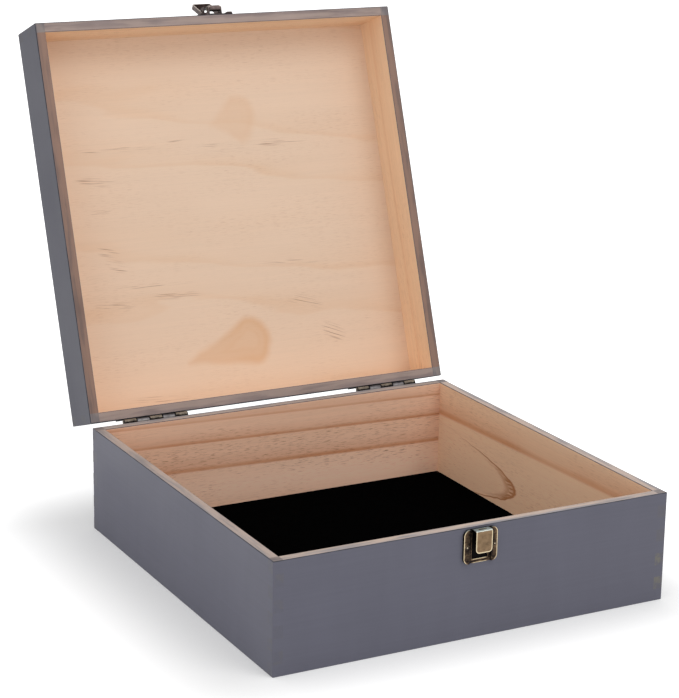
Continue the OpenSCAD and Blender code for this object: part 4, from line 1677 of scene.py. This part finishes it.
PINE_PALE = srgb(246, 204, 168)
PINE_LATE = srgb(208, 142, 96)
LID_PALE = srgb(247, 213, 179)
LID_LATE = srgb(232, 186, 146)
LID_FLECK = srgb(170, 122, 90)
PANEL_PALE = srgb(237, 208, 183)
PANEL_LATE = srgb(228, 184, 144)
PANEL_FLECK = srgb(186, 142, 112)

STAIN_BASE = Stain("stain_base", srgb(98, 98, 111), srgb(150, 142, 140))
# Painted shade: the lid's outside takes a darker, less glossy copy of the base's stain.
STAIN_LID_SHADED = Stain("stain_lid_shaded", srgb(95, 95, 104), srgb(132, 124, 122), specular=0.14)
STAIN_BASE_END = Stain("stain_base_end", srgb(97, 97, 109), srgb(108, 104, 100), strand=0.7,
                       show=0.4)
STAIN_BASE_END_BARE = Stain("stain_base_end_bare", srgb(98, 97, 107), srgb(120, 116, 104),
                            strand=0.9, show=1.1, reach=42 * MM)
# Painted shade: the lid's end grain takes a darker, less glossy copy of the base's end-grain stain.
STAIN_LID_END_SHADED = Stain("stain_lid_end_shaded", srgb(95, 95, 103), srgb(106, 102, 99), strand=0.7,
                      show=0.4, specular=0.14)
STAIN_RIM_GREY = Stain("stain_rim_grey", srgb(151, 145, 146), srgb(204, 180, 164), strand=2.0,
                       streak=1.6, show=0.55)
STAIN_CORNER = Stain("stain_corner", srgb(120, 112, 114), srgb(160, 146, 138), strand=2.0,
                     streak=1.6, show=0.5)
STAIN_RIM_PALE = Stain("stain_rim_pale", srgb(153, 147, 149), srgb(204, 182, 167), strand=2.0,
                       streak=1.6, show=0.9)
STAIN_RIM_LID = Stain("stain_lid_rim", srgb(140, 124, 121), srgb(188, 166, 154), strand=2.0,
                      streak=1.8, show=0.5)
STAIN_RIM_BROWN = Stain("stain_lid_rim_side", srgb(123, 101, 93), srgb(166, 130, 110), strand=2.0,
                        streak=1.8, show=0.5)


def base_woods() -> dict[Side, Pine]:
    """The inner finish of each of the base's boards, with the figure it has in the photo."""
    return {
        Side.FRONT: Pine("pine_base_front", PINE_PALE, PINE_LATE, line=30 * MM, tilt=0.02),
        Side.BACK: Pine("pine_base_back", srgb(246, 203, 174), srgb(206, 138, 95), line=60 * MM,
                        ring=-20.45 * MM, bend=-313.5, tilt=0.0235, warp=0.025, flecks=0.7,
                        painted_foot_light=0.26),
        Side.LEFT: Pine("pine_base_left", PINE_PALE, PINE_LATE, line=40 * MM, tilt=-0.03),
        Side.RIGHT: Pine("pine_base_right", srgb(255, 218, 184), srgb(220, 152, 106),
                         line=60.5 * MM, ring=-48 * MM, bend=-200.0, tilt=0.03, warp=0.03,
                         flecks=0.35, painted_foot_light=0.06,
                         figures=(Flame((30 * MM, 24 * MM, 0.0), 40 * MM, 15.8 * MM),)),
        Side.UNDER: Pine("veneer_base", PANEL_PALE, PANEL_LATE, ring=46 * MM, warp=0.4, depth=0.4,
                         fibre=0.25),
    }


# Patches of lifted strands on the lid's panel: in millimetres, where the middle is along and
# across the grain and the reach along and across it, and then the slope of the strands.
LIFTED = (
    (-100.0, -62.0, 52.0, 2.5, 0.02), (-36.0, -66.0, 16.0, 2.0, -0.02),
    (2.0, -57.0, 26.0, 5.0, 0.04), (58.0, -58.0, 34.0, 4.0, 0.03),
    (-118.0, -36.0, 22.0, 6.0, 0.05), (-118.0, -10.0, 14.0, 3.0, 0.0),
    (-114.0, 24.0, 12.0, 7.0, 0.2), (-108.0, 37.0, 12.0, 8.0, 0.2),
    (-76.0, 56.0, 46.0, 2.5, 0.0), (-60.0, 66.0, 30.0, 4.0, 0.05),
    (-112.0, 70.0, 22.0, 5.0, 0.1), (62.0, 84.0, 20.0, 9.0, 0.3),
    (86.0, 112.0, 14.0, 10.0, 0.4), (58.0, 48.0, 40.0, 3.0, 0.05),
    (-86.0, 152.0, 34.0, 4.0, 0.05))


def lid_woods() -> dict[Side, Pine]:
    """The inner finish of each of the lid's boards, and the figure of its panel in the photo."""
    woods = {side: Pine(f"pine_lid_{side.name.lower()}", LID_PALE, LID_LATE, fleck=LID_FLECK,
                        line=(96 + 5 * step) * MM, ring=(26 + 2 * step) * MM, depth=0.5,
                        seed=(0.0, 1.0 + step, 0.0), flecks=0.4)
             for step, side in enumerate((Side.FRONT, Side.BACK, Side.LEFT, Side.RIGHT))}
    tear = Tear((5 * MM, 112 * MM, 0.0), (-58 * MM, 13 * MM, 0.0), 19 * MM)
    ghost = Tear((20 * MM, -80 * MM, 0.0), (-26 * MM, 4 * MM, 0.0), 19 * MM, depth=0.3)
    strands = (Strands((x * MM, y * MM, 0.0), (long * MM, wide * MM, 1.0), lean)
               for x, y, long, wide, lean in LIFTED)
    woods[Side.TOP] = Pine("veneer_lid", PANEL_PALE, PANEL_LATE, fleck=PANEL_FLECK,
                           line=34 * MM, ring=60 * MM, warp=0.5, depth=0.36, tilt=-0.1,
                           flecks=0.3, fibre=0.22, figures=(tear, ghost, *strands))
    return woods


def base_finishes() -> TrayFinishes:
    """The base's finishes."""
    ends = {side: STAIN_BASE_END for side in Side} | {Side.RIGHT: STAIN_BASE_END_BARE}
    rims = {side: STAIN_RIM_GREY for side in Side}
    rims |= {Side.FRONT: STAIN_RIM_PALE, Side.RIGHT: STAIN_RIM_PALE}
    return TrayFinishes(STAIN_BASE, ends, rims, base_woods(), STAIN_CORNER)


def lid_finishes() -> TrayFinishes:
    """The lid's finishes."""
    rims = {side: STAIN_RIM_LID for side in Side}
    rims |= {Side.LEFT: STAIN_RIM_BROWN, Side.RIGHT: STAIN_RIM_BROWN}
    ends = {side: STAIN_LID_END_SHADED for side in Side}
    return TrayFinishes(STAIN_LID_SHADED, ends, rims, lid_woods(), STAIN_CORNER)


def main() -> None:
    """Builds every part of the scene in order and reports each piece."""
    base = Tray("base", Carrier.BASE, "base_bottom_panel", Side.UNDER, base_finishes(),
                Arris(inner_dark=0.8))
    lid = Tray("lid", Carrier.LID, "lid_top_panel", Side.TOP, lid_finishes(), Arris())
    board_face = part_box("base_left_wall")[1].y
    parts = (base.build, lid.build, FeltLining(FeltSizes(), Felt()).build,
             Hinges(board_face).build, Latch(board_face).build, nail_sets, dress_pins)
    for build in parts:
        for piece in build():
            LOG.info("%s: %d faces", piece.name, len(piece.data.polygons))
    Studio(StudioSizes()).build()


if __name__ == "__main__":
    logging.basicConfig(level=logging.INFO, format="%(message)s")
    main()
